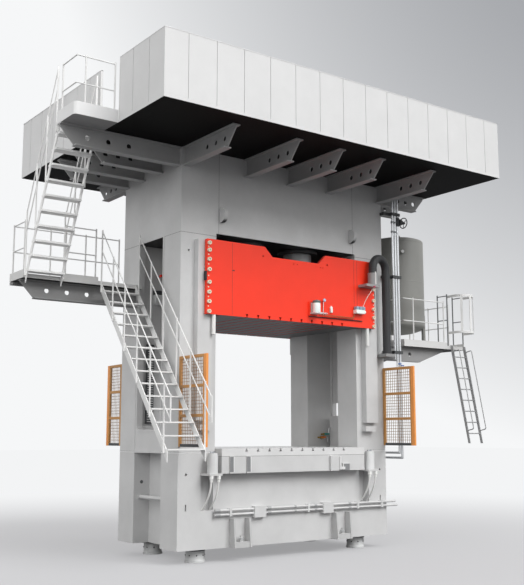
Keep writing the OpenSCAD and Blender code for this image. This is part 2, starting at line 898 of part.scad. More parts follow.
// Left landing: deck, toe boards, brackets on the rear leg and railing
module landing_deck() {
    color("#c8c8c8") {
        span([-landing_x, landing_front, landing_z - deck_t], [-half_w, landing_rear, landing_z]);
        translate([0, 0, landing_z]) {
            span([-landing_x, landing_front, 0], [-landing_x + toe_t, landing_rear, toe_h]);
            span([-landing_x + toe_t, landing_rear - toe_t, 0], [-half_w, landing_rear, toe_h]);
            span([-upper_x + upper_w + 70, landing_front, 0], [-stair_x - 60, landing_front + toe_t, toe_h]);
        }
    }
}

module landing_brackets() {
    color("#c8c8c8") {
        translate([-half_w, recess_y + flange_w / 2 + 10, landing_z - deck_t])
            rotate([0, 0, 180]) cantilever(landing_over - 30, 385, flange_w, bracket_tip, 3);
        span([-landing_x + 30, half_d - flange_w - 20, landing_z - deck_t - 60],
            [-half_w, half_d - 20, landing_z - deck_t]);
    }
}

module landing_railing() {
    color("#dedede") {
        a = [-landing_x + rail_in, landing_front + tread_d / 2, landing_z];
        b = [-landing_x + rail_in, landing_rear - rail_in, landing_z];
        c = [-half_w - 210, landing_rear - rail_in, landing_z];
        union() {
            railing(a, b, 1);
            railing(b, c, 3);
        }
        railing([-upper_x + upper_w + 100, landing_front + rail_in, landing_z],
            [-stair_x - 110, landing_front + rail_in, landing_z], 1);
    }
}

module lower_stair() {
    color("#cccccc")
    translate([-stair_x, landing_front - stair_run, stair_z])
        stair(stair_w, stair_run, stair_rise, stair_treads, tread_t, 0.55);
}

module lower_handrails() {
    color("#e4e4e4")
    translate([0, landing_front - stair_run, stair_z]) {
        translate([-stair_x, 0, 0]) stair_rail(stair_run, stair_rise, 5, 240);
        translate([-stair_x + stair_w, 0, 0]) mirror([1, 0, 0]) stair_rail(stair_run, stair_rise, 5, 240);
    }
}

module upper_stair() {
    color("#cccccc")
    translate([-upper_x, landing_front, landing_z])
        mirror([0, 1, 0]) stair(upper_w, upper_run, upper_rise, upper_treads, upper_tread_t, 0.6);
}

module upper_handrails() {
    color("#e4e4e4")
    translate([0, landing_front, landing_z])
        mirror([0, 1, 0]) {
            translate([-upper_x, 0, 0]) stair_rail(upper_run, upper_rise, 3, 0);
            translate([-upper_x + upper_w, 0, 0]) mirror([1, 0, 0]) stair_rail(upper_run, upper_rise, 3, 0);
        }
}

module top_platform() {
    color("#e6e6e6") {
        span([-landing_x, top_front, roof_z], [-roof_left, top_rear, top_z]);
        span([-landing_x, top_front, top_z], [-landing_x + toe_t, top_rear, top_z + 2 * toe_h]);
        span([-landing_x + toe_t, top_front, top_z], [-roof_left, top_front + toe_t, top_z + 2 * toe_h]);
    }
}

module top_railing() {
    color("#e6e6e6") {
        a = [-roof_left - 70, top_front + rail_in, top_z];
        b = [-landing_x + rail_in, top_front + rail_in, top_z];
        c = [-landing_x + rail_in, top_rear - 110, top_z];
        f = b + [190, 0, 0];
        union() {
            railing(a, f, 1);
            rod_z(c, deck_rail_h, post_d);
            rail_corner(f, b, c);
        }
    }
}

// Tank platform on the right, with its brackets, railing, ladder and ladder cage
module tank_platform() {
    color("#d0d0d0") {
        z0 = platform_z;
        z1 = platform_z + toe_h;
        span([platform_x, -platform_front, z0 - deck_t], [platform_end, platform_rear, z0]);
        span([platform_x, -platform_front, z0], [platform_x + toe_t, platform_rear, z1]);
        span([platform_end - toe_t, -platform_front, z0], [platform_end, platform_rear, z1]);
        span([platform_x + toe_t, platform_rear - toe_t, z0], [platform_end - toe_t, platform_rear, z1]);
        span([platform_x + toe_t, -platform_front, z0],
            [ladder_x - ladder_w - 120, -platform_front + toe_t, z1]);
    }
}

module tank_platform_brackets() {
    color("#c8c8c8")
    translate([0, 0, platform_z - deck_t]) {
        translate([half_w, -half_d + arm_w / 2 + 20, 0])
            cantilever(platform_end - half_w - 600, arm_h, arm_w, 900, 1);
        translate([half_w, recess_y - arm_w / 2 - 10, 0])
            cantilever(platform_end - half_w - 600, arm_h, arm_w, 900, 1);
        span([hose_to[0] - 150, -half_d, -330],
            [hose_to[0] + 150, hose_to[1] - hose_d / 2 - 20, -260]);
    }
}

module tank_platform_railing() {
    color("#e2e2e2") {
        a = [platform_x + rail_in, -platform_front + rail_in, platform_z];
        b = [ladder_x - ladder_w - 190, -platform_front + rail_in, platform_z];
        c = [platform_end - rail_in, -platform_front + 480, platform_z];
        d = [platform_end - rail_in, platform_rear - rail_in, platform_z];
        e = [platform_x + rail_in, platform_rear - rail_in, platform_z];
        f = a + [330, 0, 0];
        s = a + [0, 260, 0];
        union() {
            railing(f, b, 1);
            rail_corner(f, a, s);
            railing(s, s + [0, 370, 0], 1);
        }
        union() {
            railing(c, d, 2);
            railing(d, e, 3);
            railing(e, e - [0, 500, 0], 1);
        }
    }
}

module ladder() {
    color("#dadada")
    translate([ladder_x, -platform_front, platform_z]) {
        for (x = [-ladder_w, -16])
            translate([x, 0, 0])
                rotate([90, 0, 90])
                    linear_extrude(16)
                        polygon([[0, 0], [0, -deck_t], [-ladder_lean * ladder_h, -ladder_h],
                            [-ladder_lean * ladder_h - 70, -ladder_h], [-70, 0]]);
        for (z = [rung_pitch : rung_pitch : ladder_h - 60])
            rod_x([-ladder_w + 8, -ladder_lean * z - 35 + 10, -z], ladder_w - 16, 30);
    }
}

// Cage over the ladder's head: four posts, two bowed hoops and upright straps
module ladder_cage() {
    color("#e6e6e6")
    translate([ladder_x - ladder_w / 2, -platform_front + rail_in, platform_z]) {
        r = platform_end - ladder_x + ladder_w / 2 + post_d / 2 + 1;
        for (x = [-r, r]) {
            rod_z([x, 0, 0], cage_h, post_d);
            rod_z([x, 330, 0], cage_h, post_d);
            rod_y([x, 0, cage_h - post_d], 330, rail_d);
            rod_y([x, 0, cage_h / 2], 330, rail_d);
        }
        for (z = [310, cage_h - 100]) {
            both_sides() span([r - 5, -250, z], [r + 5, 0, z + 60]);
            translate([0, -249, z])
                rotate([0, 0, 180])
                    rotate_extrude(angle = 180) translate([r - 5, 0]) square([10, 60]);
        }
        for (turn = [-50, 0, 50])
            translate([0, -249, 310])
                rotate([0, 0, turn])
                    span([-30, -r - 3, 0], [30, -r + 8, cage_h - 350]);
    }
}

// Upright pressure tank with dished ends, on four legs
module pressure_tank() {
    color("#858583")
    translate([tank_x, tank_y, tank_z])
        union() {
            rotate_extrude()
                polygon(concat(
                    [for (a = [-90 : 10 : 0]) [tank_r * cos(a), tank_head_h * sin(a)]],
                    [for (a = [0 : 10 : 90]) [tank_r * cos(a), tank_shell_h + tank_head_h * sin(a)]]));
            rod_z([0, 0, tank_shell_h + tank_head_h - 20], 110, 130);
            rod_z([0, 0, tank_shell_h + tank_head_h + 60], 30, 230);
            rotate([0, 0, -nozzle_turn]) {
                rod_y([0, -tank_r - 60, tank_shell_h * 0.84], 100, 70);
                rod_y([0, -tank_r - 80, tank_shell_h * 0.84], 25, 120);
            }
            quadrants() {
                span([tank_leg, tank_leg, tank_foot], [tank_leg + 70, tank_leg + 70, 260]);
                span([tank_leg - 40, tank_leg - 40, tank_foot],
                    [tank_leg + 110, tank_leg + 110, tank_foot + 15]);
            }
        }
}

// Riser pipes at the frame's front corner; the outer two run down and turn into the bed's side
module riser_pipes() {
    color("#d8d8d8") {
        rod_z([riser_x, riser_y, riser_z], roof_z - riser_z, riser_d);
        for (k = [1, 2])
            let (x = riser_x + k * riser_pitch, z = bed_top + 85 - 120 * k, y = -half_d + 510)
                union() {
                    rod_z([x, riser_y, z], roof_z - z, riser_d);
                    translate([x, riser_y, z]) sphere(d = riser_d);
                    rod_y([x, riser_y, z], y - riser_y, riser_d);
                    translate([x, y, z]) sphere(d = riser_d);
                    rod_x([half_w, y, z], x - half_w, riser_d);
                }
    }
}

// Pipe clamps on arms from the frame's front face
module pipe_clamps() {
    color("#8a8d90")
    for (z = [platform_z - 310, column_top - 435, roof_z - 700])
        difference() {
            union() {
                span([riser_x - 55, riser_y - 50, z], [riser_x + 2 * riser_pitch + 55, riser_y + 50, z + 70]);
                span([half_w - 38, riser_y + 40, z], [riser_x + 2 * riser_pitch + 55, riser_y + 60, z + 70]);
                span([half_w - 38, riser_y + 40, z], [half_w - 2, -half_d, z + 70]);
            }
            for (k = [0 : 2])
                rod_z([riser_x + k * riser_pitch, riser_y, z - 1], 72, riser_d + 2 * fit);
        }
}

// Control valve on the outermost riser, its stem along X
module control_valve() {
    color("#6c6f72")
    translate([riser_x + 2 * riser_pitch, riser_y, valve_z])
        difference() {
            union() {
                rod_z([0, 0, -110], 220, riser_d + 50);
                rod_x([0, 0, 0], 120, 90);
                rod_x([119, 0, 0], 60, 60);
                rod_x([178, 0, 0], 90, 36);
            }
            rod_z([0, 0, -111], 222, riser_d + 2 * fit);
        }
}

module valve_handwheel() {
    color("#33363a")
    translate([wheel_x, riser_y, valve_z])
        rotate([0, 90, 0])
            difference() {
                union() {
                    rotate_extrude() translate([wheel_d / 2 - 12, 0]) circle(d = 24);
                    translate([0, 0, -20]) cylinder(d = 70, h = 40);
                    for (turn = [0, 120, 240])
                        rotate([0, 0, turn]) rod_x([22, 0, 0], wheel_d / 2 - 34, 16);
                }
                translate([0, 0, -21]) cylinder(d = 36 + 2 * fit, h = 42);
            }
}

// Mesh guards beside the die space, one frame on each column leg
module guard(length) {
    bay_w = length - guard_bar - guard_post;
    bay_h = (guard_h - guard_bar) / 3 - guard_bar;
    union() {
        rotate([90, 0, 90])
            linear_extrude(guard_t)
                difference() {
                    square([length, guard_h]);
                    for (k = [0 : 2])
                        translate([guard_bar, guard_bar + k * (bay_h + guard_bar)])
                            square([bay_w, bay_h]);
                }
        for (k = [0 : 2])
            translate([guard_t / 2, guard_bar, guard_bar + k * (bay_h + guard_bar)]) {
                for (c = [1 : mesh_cols - 1])
                    span([-4, c * bay_w / mesh_cols - 4, -1], [4, c * bay_w / mesh_cols + 4, bay_h + 1]);
                for (r = [1 : mesh_rows - 1])
                    span([-4, -1, r * bay_h / mesh_rows - 4], [4, bay_w + 1, r * bay_h / mesh_rows + 4]);
            }
    }
}

module side_guards() {
    color("#d9904a")
    both_sides() {
        translate([half_w - guard_t, -half_d, bed_top + 140])
            mirror([0, 1, 0]) guard(guard_front);
        translate([half_w - guard_t, half_d, bed_top + 140])
            guard(guard_rear);
    }
}

// Pipes along the bed's front, held in two blocks
module bed_pipes() {
    color("#b4b7ba")
    union() {
        for (k = [0, 1])
            rod_x([-half_w + 850, -half_d - 70, pocket_z - 100 + 90 * k],
                frame_w - 640 + 60 * (1 - k), 50);
        for (x = [-888, 998])
            span([x - 150, -half_d - 110, pocket_z - 190], [x + 150, -half_d, pocket_z + 45]);
        for (x = [-half_w + 1240, half_open - 90, half_w - 230])
            span([x - 30, -half_d - 105, pocket_z - 135], [x + 30, -half_d, pocket_z + 25]);
    }
}

// Corner cylinders with their plungers and hoses
module corner_cylinders() {
    color("#c2c5c8")
    quadrants()
        translate([corner_x, corner_y, corner_z])
            rotate_extrude()
                polygon([[0, 0], [corner_d / 2, 0], [corner_d / 2, corner_h - 40],
                    [corner_d / 2 - 12, corner_h - 40], [corner_d / 2 - 12, corner_h],
                    [level_d / 2 + fit, corner_h], [level_d / 2 + fit, corner_floor], [0, corner_floor]]);
}

module level_plunger() {
    translate([corner_x, corner_y, corner_z + corner_h + level_proud - level_l])
        cylinder(d = level_d, h = level_l);
}

module level_plunger_fl() {
    color("#d9dce0") mirror([1, 0, 0]) mirror([0, 1, 0]) level_plunger();
}

module level_plunger_fr() {
    color("#d9dce0") mirror([0, 1, 0]) level_plunger();
}

module level_plunger_rl() {
    color("#d9dce0") mirror([1, 0, 0]) level_plunger();
}

module level_plunger_rr() {
    color("#d9dce0") level_plunger();
}

module corner_hoses() {
    color("#e8e8e4")
    quadrants()
        for (x = [corner_x - 90, corner_x + 90])
            hose([for (t = [0 : 0.1 : 1])
                [x, corner_y + 100 - (corner_y + 120 - half_d) * pow(max(0, t - 0.1) / 0.9, 2),
                    ledge_z - (ledge_z - pocket_z - 18) * t]], 36, 12);
}

// Jack brackets at the foot of the bed: two gussets, a foot block and a jack screw
module jack_brackets() {
    color("#d2d2d2")
    quadrants()
        translate([jack_x, half_d, foot_h])
            union() {
                for (x = [-217, 177])
                    translate([x, 0, 0])
                        rotate([90, 0, 90])
                            linear_extrude(40)
                                polygon([[0, 0], [215, 0], [165, 588], [0, 588]]);
                span([-178, 0, 0], [178, 190, 115]);
                rod_z([0, 110, 114], 130, 46);
                rod_z([0, 110, 114], 40, 90);
            }
}

bed();
column_left();
column_right();
crown();
tie_rods();
feet();
bolster_box();
bolster_plate();
bolster_strips();
guide_rails();
cylinder_barrels();
roof_deck();
roof_wall_front();
roof_wall_rear();
roof_wall_left();
roof_wall_right();
roof_brackets();
oil_tank();
pump_motors();
pumps();
valve_manifold();
control_cabinet();
landing_deck();
landing_brackets();
landing_railing();
lower_stair();
lower_handrails();
upper_stair();
upper_handrails();
top_platform();
top_railing();
tank_platform();
tank_platform_brackets();
tank_platform_railing();
ladder();
ladder_cage();
pressure_tank();
riser_pipes();
pipe_clamps();
control_valve();
side_guards();
bed_pipes();
corner_cylinders();
corner_hoses();
jack_brackets();
hose_fixed_leg();
slide_body();
slide_bolts();
contact_rods();
plungers();
slide_gibs();
lube_unit();
hose_bracket();
hose_moving_leg();
hose_arch();
valve_handwheel();
level_plunger_fl();
level_plunger_fr();
level_plunger_rl();
level_plunger_rr();
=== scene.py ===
import bmesh
import bpy
import numpy as np
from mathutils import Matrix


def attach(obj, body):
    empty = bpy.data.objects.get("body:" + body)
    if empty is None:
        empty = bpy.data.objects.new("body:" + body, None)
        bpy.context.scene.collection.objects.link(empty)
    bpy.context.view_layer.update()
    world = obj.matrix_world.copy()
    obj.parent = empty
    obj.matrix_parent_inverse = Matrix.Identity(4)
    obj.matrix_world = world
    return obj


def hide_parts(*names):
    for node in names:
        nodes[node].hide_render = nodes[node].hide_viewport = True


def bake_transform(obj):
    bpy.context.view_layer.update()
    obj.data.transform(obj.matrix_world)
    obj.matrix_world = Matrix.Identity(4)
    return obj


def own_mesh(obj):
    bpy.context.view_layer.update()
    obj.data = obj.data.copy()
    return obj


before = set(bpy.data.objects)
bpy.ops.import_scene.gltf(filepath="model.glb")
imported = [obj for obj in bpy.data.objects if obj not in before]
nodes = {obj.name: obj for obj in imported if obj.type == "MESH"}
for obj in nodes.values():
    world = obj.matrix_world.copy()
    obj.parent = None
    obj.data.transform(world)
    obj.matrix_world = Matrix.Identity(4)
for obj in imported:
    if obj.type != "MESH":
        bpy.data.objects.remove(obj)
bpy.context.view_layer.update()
scene = bpy.context.scene
scene.view_settings.view_transform = "Standard"

# Camera: a medium long lens low on the left, tilted up a little, so that the horizon lies below the
# middle of the picture and the uprights lean together slightly.
lens = bpy.data.cameras.new("camera")
lens.sensor_fit = "VERTICAL"
lens.sensor_height = 36.0
lens.lens = 57.04
lens.clip_end = 400.0
camera = bpy.data.objects.new("camera", lens)
camera.location = (-12.746, -17.675, 2.570)
camera.rotation_euler = np.radians((90 + 8.81, 0.0, -36.113))
scene.collection.objects.link(camera)
scene.camera = camera


def linear(code):
    """An sRGB hex code as linear red, green, blue and alpha."""
    c = np.array([int(code[k : k + 2], 16) for k in (1, 3, 5)]) / 255
    c = np.where(c <= 0.04045, c / 12.92, ((c + 0.055) / 1.055) ** 2.4)
    return (*c, 1.0)


def add(tree, kind, links=None, **settings):
    """A node of that kind with its settings; links maps an input to a value or to another node's output."""
    n = tree.nodes.new(kind)
    for key, value in settings.items():
        setattr(n, key, value)
    for socket, value in (links or {}).items():
        if isinstance(value, bpy.types.NodeSocket):
            tree.links.new(value, n.inputs[socket])
        else:
            n.inputs[socket].default_value = value
    return n


# Studio: a pale floor that keeps the shadow, a near white backdrop that falls to a cool grey high on the
# right, a broad soft key light from the front right and a weaker, broader fill from the left.
world = bpy.data.worlds.new("studio")
world.use_nodes = True
scene.world = world
sky = world.node_tree
sky.nodes.clear()
GREY_SIDE = (0.747, 0.370, 0.553)
toward = add(sky, "ShaderNodeTexCoord").outputs["Generated"]
nearness = add(
    sky, "ShaderNodeVectorMath", {0: toward, 1: GREY_SIDE}, operation="DOT_PRODUCT",
).outputs["Value"]
ramp = add(sky, "ShaderNodeValToRGB", {"Fac": nearness})
ramp.color_ramp.elements[0].position = 0.81
ramp.color_ramp.elements[0].color = linear("#f6f7f8")
ramp.color_ramp.elements[1].position = 0.975
ramp.color_ramp.elements[1].color = linear("#a8aaae")
seen = add(sky, "ShaderNodeLightPath").outputs
near = add(sky, "ShaderNodeMath", {0: seen["Is Camera Ray"], 1: seen["Is Glossy Ray"]}, operation="MAXIMUM")
near = add(sky, "ShaderNodeMath", {0: near.outputs[0], 1: seen["Is Transmission Ray"]}, operation="MAXIMUM")
dome = add(sky, "ShaderNodeBackground", {"Color": linear("#f1f1f0"), "Strength": 0.85})
shown = add(sky, "ShaderNodeBackground", {"Color": ramp.outputs["Color"], "Strength": 1.0})
mixed = add(sky, "ShaderNodeMixShader", {0: near.outputs[0], 1: dome.outputs[0], 2: shown.outputs[0]})
add(sky, "ShaderNodeOutputWorld", {"Surface": mixed.outputs[0]})

for name, energy, angle, turn in (
    ("key", 2.40, 36.0, (50.0, 0.0, 16.0)), ("fill", 1.1, 60.0, (62.0, 0.0, -70.0)),
):
    lamp = bpy.data.lights.new(name, "SUN")
    lamp.energy = energy
    lamp.angle = np.radians(angle)
    holder = bpy.data.objects.new(name, lamp)
    holder.rotation_euler = np.radians(turn)
    scene.collection.objects.link(holder)

FLOOR_REACH = 150.0
floor_mesh = bpy.data.meshes.new("floor")
floor_mesh.from_pydata(
    np.array([[-1, -1, 0], [1, -1, 0], [1, 1, 0], [-1, 1, 0]], float) * FLOOR_REACH, [], [(0, 1, 2, 3)]
)
floor = bpy.data.objects.new("floor", floor_mesh)
scene.collection.objects.link(floor)
floor_paint = bpy.data.materials.new("studio_floor")
floor_paint.use_nodes = True
t = floor_paint.node_tree
t.nodes.clear()
spot = add(t, "ShaderNodeTexCoord").outputs["Object"]
far = add(t, "ShaderNodeVectorMath", {0: spot}, operation="LENGTH").outputs["Value"]
away = add(t, "ShaderNodeMapRange", {0: far, 1: 5.0, 2: 24.0}, interpolation_type="SMOOTHSTEP").outputs[0]
lit = add(t, "ShaderNodeBsdfDiffuse", {"Color": linear("#c6c6c8")}).outputs[0]
glow = add(t, "ShaderNodeEmission", {"Color": linear("#c9c9cb"), "Strength": 1.0}).outputs[0]
soft = add(t, "ShaderNodeMixShader", {0: 0.55, 1: lit, 2: glow}).outputs[0]
pale = add(t, "ShaderNodeEmission", {"Color": linear("#f3f4f5"), "Strength": 1.0}).outputs[0]
ray = add(t, "ShaderNodeLightPath").outputs["Is Camera Ray"]
dim = add(t, "ShaderNodeBsdfDiffuse", {"Color": linear("#6a6a6c")}).outputs[0]
plain = add(t, "ShaderNodeMixShader", {0: away, 1: soft, 2: pale}).outputs[0]
add(
    t, "ShaderNodeOutputMaterial",
    {"Surface": add(t, "ShaderNodeMixShader", {0: ray, 1: dim, 2: plain}).outputs[0]},
)
floor_mesh.materials.append(floor_paint)


# Bed: a welded steel block, stress relieved, machined where the columns and the bolster sit, and sprayed
# with light grey machine enamel. Jack brackets are welded to its foot.
def enamel(
    name, code, rough=0.42, shade=0.05, under=None, under_metal=0.0, over=None, shine=0.5, tread_mm=0,
    patch_mm=700, peel_mm=26,
):
    """Sprayed two-pack enamel: a colour that clouds a little over patches, its gloss broken by orange peel.

    The peel is really 3 mm and is drawn at peel_mm so that it shows. Faces that point down take the under
    colour where one is given, and faces that point up the over colour; they get raised lozenges tread_mm
    apart where that is given. Where they are darker than the paint, the under and over colours are painted
    shade, save on the slide's bare milled underside. Shine is how strongly the surface mirrors.
    """
    m = bpy.data.materials.new(name)
    m.use_nodes = True
    t = m.node_tree
    body = t.nodes["Principled BSDF"]
    body.inputs["Roughness"].default_value = rough
    body.inputs["Specular IOR Level"].default_value = shine
    place = add(t, "ShaderNodeTexCoord").outputs["Object"]
    cloud = add(
        t, "ShaderNodeTexNoise", {"Vector": place, "Scale": 1000 / patch_mm, "Detail": 5.0, "Roughness": 0.6},
    )
    peel = add(
        t, "ShaderNodeTexNoise", {"Vector": place, "Scale": 1000 / peel_mm, "Detail": 3.0},
    ).outputs["Fac"]
    dull = linear(code)
    deep = tuple(c * (1 - 2.2 * shade) for c in dull[:3]) + (1.0,)
    tone = add(t, "ShaderNodeMapRange", {0: cloud.outputs["Fac"], 1: 0.3, 2: 0.7}).outputs[0]
    tint = add(t, "ShaderNodeMix", {0: tone, 6: deep, 7: dull}, data_type="RGBA").outputs[2]
    facing = add(
        t, "ShaderNodeSeparateXYZ", {0: add(t, "ShaderNodeNewGeometry").outputs["Normal"]},
    ).outputs["Z"]
    if under:
        down = add(t, "ShaderNodeMapRange", {0: facing, 1: -0.6, 2: -0.9}).outputs[0]
        tint = add(t, "ShaderNodeMix", {0: down, 6: tint, 7: linear(under)}, data_type="RGBA").outputs[2]
        if under_metal:
            steel = add(t, "ShaderNodeMath", {0: down, 1: under_metal}, operation="MULTIPLY").outputs[0]
            t.links.new(steel, body.inputs["Metallic"])
    up = add(t, "ShaderNodeMapRange", {0: facing, 1: 0.6, 2: 0.9}).outputs[0]
    if over:
        tint = add(t, "ShaderNodeMix", {0: up, 6: tint, 7: linear(over)}, data_type="RGBA").outputs[2]
    t.links.new(tint, body.inputs["Base Color"])
    gloss = add(t, "ShaderNodeMapRange", {0: peel, 3: rough - 0.07, 4: rough + 0.09}).outputs[0]
    t.links.new(gloss, body.inputs["Roughness"])
    skin = add(t, "ShaderNodeBump", {"Height": peel, "Strength": 0.2, "Distance": 0.002})
    if tread_mm:
        turned_place = add(
            t, "ShaderNodeMapping", {"Vector": place, "Rotation": (0.0, 0.0, np.pi / 4)},
        ).outputs[0]
        lozenge = add(
            t, "ShaderNodeTexChecker", {"Vector": turned_place, "Scale": 1000 / tread_mm},
        ).outputs["Fac"]
        raised = add(t, "ShaderNodeMath", {0: lozenge, 1: up}, operation="MULTIPLY").outputs[0]
        skin = add(
            t, "ShaderNodeBump",
            {"Height": raised, "Strength": 0.6, "Distance": 0.004, "Normal": skin.outputs[0]},
        )
    t.links.new(skin.outputs[0], body.inputs["Normal"])
    return m


machine_enamel = enamel("machine_enamel_grey", "#cbcbcb")


def dress(material, *names):
    """The CAD nodes of these names take the material in every slot."""
    for n in names:
        nodes[n].data.materials.clear()
        nodes[n].data.materials.append(material)


def weave(rows, cols):
    """Quads over a grid of rows by cols points, closed round the columns."""
    i, j = np.meshgrid(np.arange(rows - 1), np.arange(cols), indexing="ij")
    k = (j + 1) % cols
    return np.stack([i * cols + j, i * cols + k, (i + 1) * cols + k, (i + 1) * cols + j], -1).reshape(-1, 4)


def turned(profile, at, axis=2, sides=32):
    """Solids of revolution: the profile of (radius, height) turned round an axis through each point of at."""
    profile = np.asarray(profile, float)
    at = np.atleast_2d(np.asarray(at, float))
    a = np.arange(sides) * 2 * np.pi / sides
    ring = np.stack([np.outer(profile[:, 0], np.cos(a)), np.outer(profile[:, 0], np.sin(a))], -1)
    rise = np.repeat(profile[:, 1], sides).reshape(len(profile), sides, 1)
    shape = np.roll(np.concatenate([ring, rise], -1), axis - 2, -1).reshape(-1, 3)
    step = np.arange(len(at))[:, None, None] * len(shape)
    return (at[:, None] + shape[None]).reshape(-1, 3), (
        weave(len(profile), sides)[None] + step
    ).reshape(-1, 4)


def bars(low, high):
    """Square bars: each of a bar's eight corners is low plus 0 or 1 times (high - low) each way."""
    low, high = np.atleast_2d(np.asarray(low, float)), np.atleast_2d(np.asarray(high, float))
    corner = np.array(
        [[0, 0, 0], [1, 0, 0], [1, 1, 0], [0, 1, 0], [0, 0, 1], [1, 0, 1], [1, 1, 1], [0, 1, 1]]
    )
    face = np.array([[0, 3, 2, 1], [4, 5, 6, 7], [0, 1, 5, 4], [1, 2, 6, 5], [2, 3, 7, 6], [3, 0, 4, 7]])
    step = np.arange(len(low))[:, None, None] * 8
    return (low[:, None] + (high - low)[:, None] * corner).reshape(-1, 3), (face + step).reshape(-1, 4)


def tube(path, radius, across=(0.0, 0.0, 1.0), sides=16):
    """A closed round tube: rings of the radius, one or one a point, square to the path, which is never
    parallel to the direction across."""
    path = np.asarray(path, float)
    radius = np.broadcast_to(np.asarray(radius, float), len(path))
    ahead = np.gradient(path, axis=0)
    ahead /= np.linalg.norm(ahead, axis=1, keepdims=True)
    side = np.cross(ahead, across)
    side /= np.linalg.norm(side, axis=1, keepdims=True)
    lift = np.cross(side, ahead)
    ends = np.r_[0, np.arange(len(path)), len(path) - 1]
    radius = np.r_[0.0, radius, 0.0]
    a = np.arange(sides) * 2 * np.pi / sides
    ring = np.cos(a)[None, :, None] * side[ends][:, None] + np.sin(a)[None, :, None] * lift[ends][:, None]
    return (path[ends][:, None] + radius[:, None, None] * ring).reshape(-1, 3), weave(len(ends), sides)


def bend(corners, radius, steps=6):
    """A path through the corners, each inner one rounded by a quadratic curve from radius before it."""
    corners = np.asarray(corners, float)
    way = np.diff(corners, axis=0)
    way /= np.linalg.norm(way, axis=1, keepdims=True)
    s = np.linspace(0, 1, steps)[None, :, None]
    p, q, r = corners[1:-1] - radius * way[:-1], corners[1:-1], corners[1:-1] + radius * way[1:]
    curve = (1 - s) ** 2 * p[:, None] + 2 * s * (1 - s) * q[:, None] + s**2 * r[:, None]
    return np.concatenate([corners[:1], curve.reshape(-1, 3), corners[-1:]])


def make(name, parts, material, body, smooth=True, bevel=0.0, stands_for=()):
    """One object from (points, quads) parts: doubles merged, normals outward, riding on its body."""
    starts = np.cumsum([0] + [len(p) for p, q in parts])
    mesh = bpy.data.meshes.new(name)
    points = np.concatenate([p for p, q in parts])
    quads = np.concatenate([q + s for (p, q), s in zip(parts, starts)])
    mesh.from_pydata(points, [], quads.tolist())
    work = bmesh.new()
    work.from_mesh(mesh)
    bmesh.ops.remove_doubles(work, verts=work.verts, dist=1e-5)
    bmesh.ops.dissolve_degenerate(work, edges=work.edges, dist=1e-6)
    bmesh.ops.recalc_face_normals(work, faces=work.faces)
    work.to_mesh(mesh)
    work.free()
    mesh.materials.append(material)
    piece = bpy.data.objects.new(name, mesh)
    scene.collection.objects.link(piece)
    if smooth:
        mesh.shade_smooth()
        mesh.set_sharp_from_angle(angle=np.radians(35))
    if bevel:
        edge = piece.modifiers.new("edge", "BEVEL")
        edge.width = bevel
        edge.segments = 2
        edge.limit_method = "ANGLE"
    if body:
        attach(piece, body)
    if stands_for:
        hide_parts(*stands_for)
    return piece


def metal(name, code, rough=0.32, lay_mm=(8.0, 8.0, 250.0), dirt=0.2):
    """Machined steel: full metal, with tool marks long one way and short the others, and a little tarnish.

    Real marks are under 1 mm apart, and they are drawn at lay_mm so that they show.
    """
    m = bpy.data.materials.new(name)
    m.use_nodes = True
    t = m.node_tree
    body = t.nodes["Principled BSDF"]
    body.inputs["Metallic"].default_value = 1.0
    place = add(t, "ShaderNodeTexCoord").outputs["Object"]
    lay = add(t, "ShaderNodeMapping", {"Vector": place, "Scale": tuple(1000 / k for k in lay_mm)}).outputs[0]
    marks = add(t, "ShaderNodeTexNoise", {"Vector": lay, "Scale": 1.0, "Detail": 4.0}).outputs["Fac"]
    tarnish = add(t, "ShaderNodeTexNoise", {"Vector": place, "Scale": 2.2, "Detail": 6.0}).outputs["Fac"]
    dark = tuple(c * (1 - dirt) for c in linear(code)[:3]) + (1.0,)
    tint = add(t, "ShaderNodeMix", {0: tarnish, 6: dark, 7: linear(code)}, data_type="RGBA").outputs[2]
    t.links.new(tint, body.inputs["Base Color"])
    gloss = add(t, "ShaderNodeMapRange", {0: marks, 3: rough - 0.1, 4: rough + 0.14}).outputs[0]
    t.links.new(gloss, body.inputs["Roughness"])
    return m


dress(machine_enamel, "bed")
dress(enamel("bracket_enamel_grey", "#bcbcbc"), "jack_brackets")
SIGNS = np.array([[1, 1], [-1, 1], [-1, -1], [1, -1]])
shadow_gap = enamel("joint_in_shadow", "#5c5d5f", rough=0.6)
PIPE_X, PIPE_Z, PIPE_REACH = 2.72, 1.268, 0.581
collar = [(0.0, 0.0), (0.068, 0.0), (0.068, 0.016), (0.0, 0.016)]
recess_parts = []
for x in (-PIPE_X, PIPE_X):
    run = np.array([(x, y, PIPE_Z) for y in (-PIPE_REACH, 0.0, PIPE_REACH)])
    recess_parts.append(tube(run, 0.045, sides=24))
    recess_parts += [
        turned(collar, (x, y, PIPE_Z), axis=1, sides=24) for y in (-PIPE_REACH, PIPE_REACH - 0.016)
    ]
make("recess_pipes", recess_parts, machine_enamel, "frame")
port = [(0.0, 0.0), (0.038, 0.0), (0.038, -0.003), (0.0, -0.003)]
port_at = np.c_[SIGNS[:, 0] * 2.69, SIGNS[:, 1] * 0.58, np.full(4, 1.584)]
jack_nut = [
    (0.0235, 0.44), (0.052, 0.44), (0.056, 0.444), (0.056, 0.478), (0.052, 0.482), (0.0235, 0.482),
    (0.0235, 0.44),
]
jack_at = np.c_[SIGNS * (1.395, 1.370), np.zeros(4)]
make(
    "jack_nuts", [turned(jack_nut, jack_at, sides=6)], metal("zinc_plated_nut", "#e4e5e6", rough=0.4),
    "frame",
)
make("recess_ports", [turned(port, p, axis=1, sides=20) for p in port_at], shadow_gap, "frame")

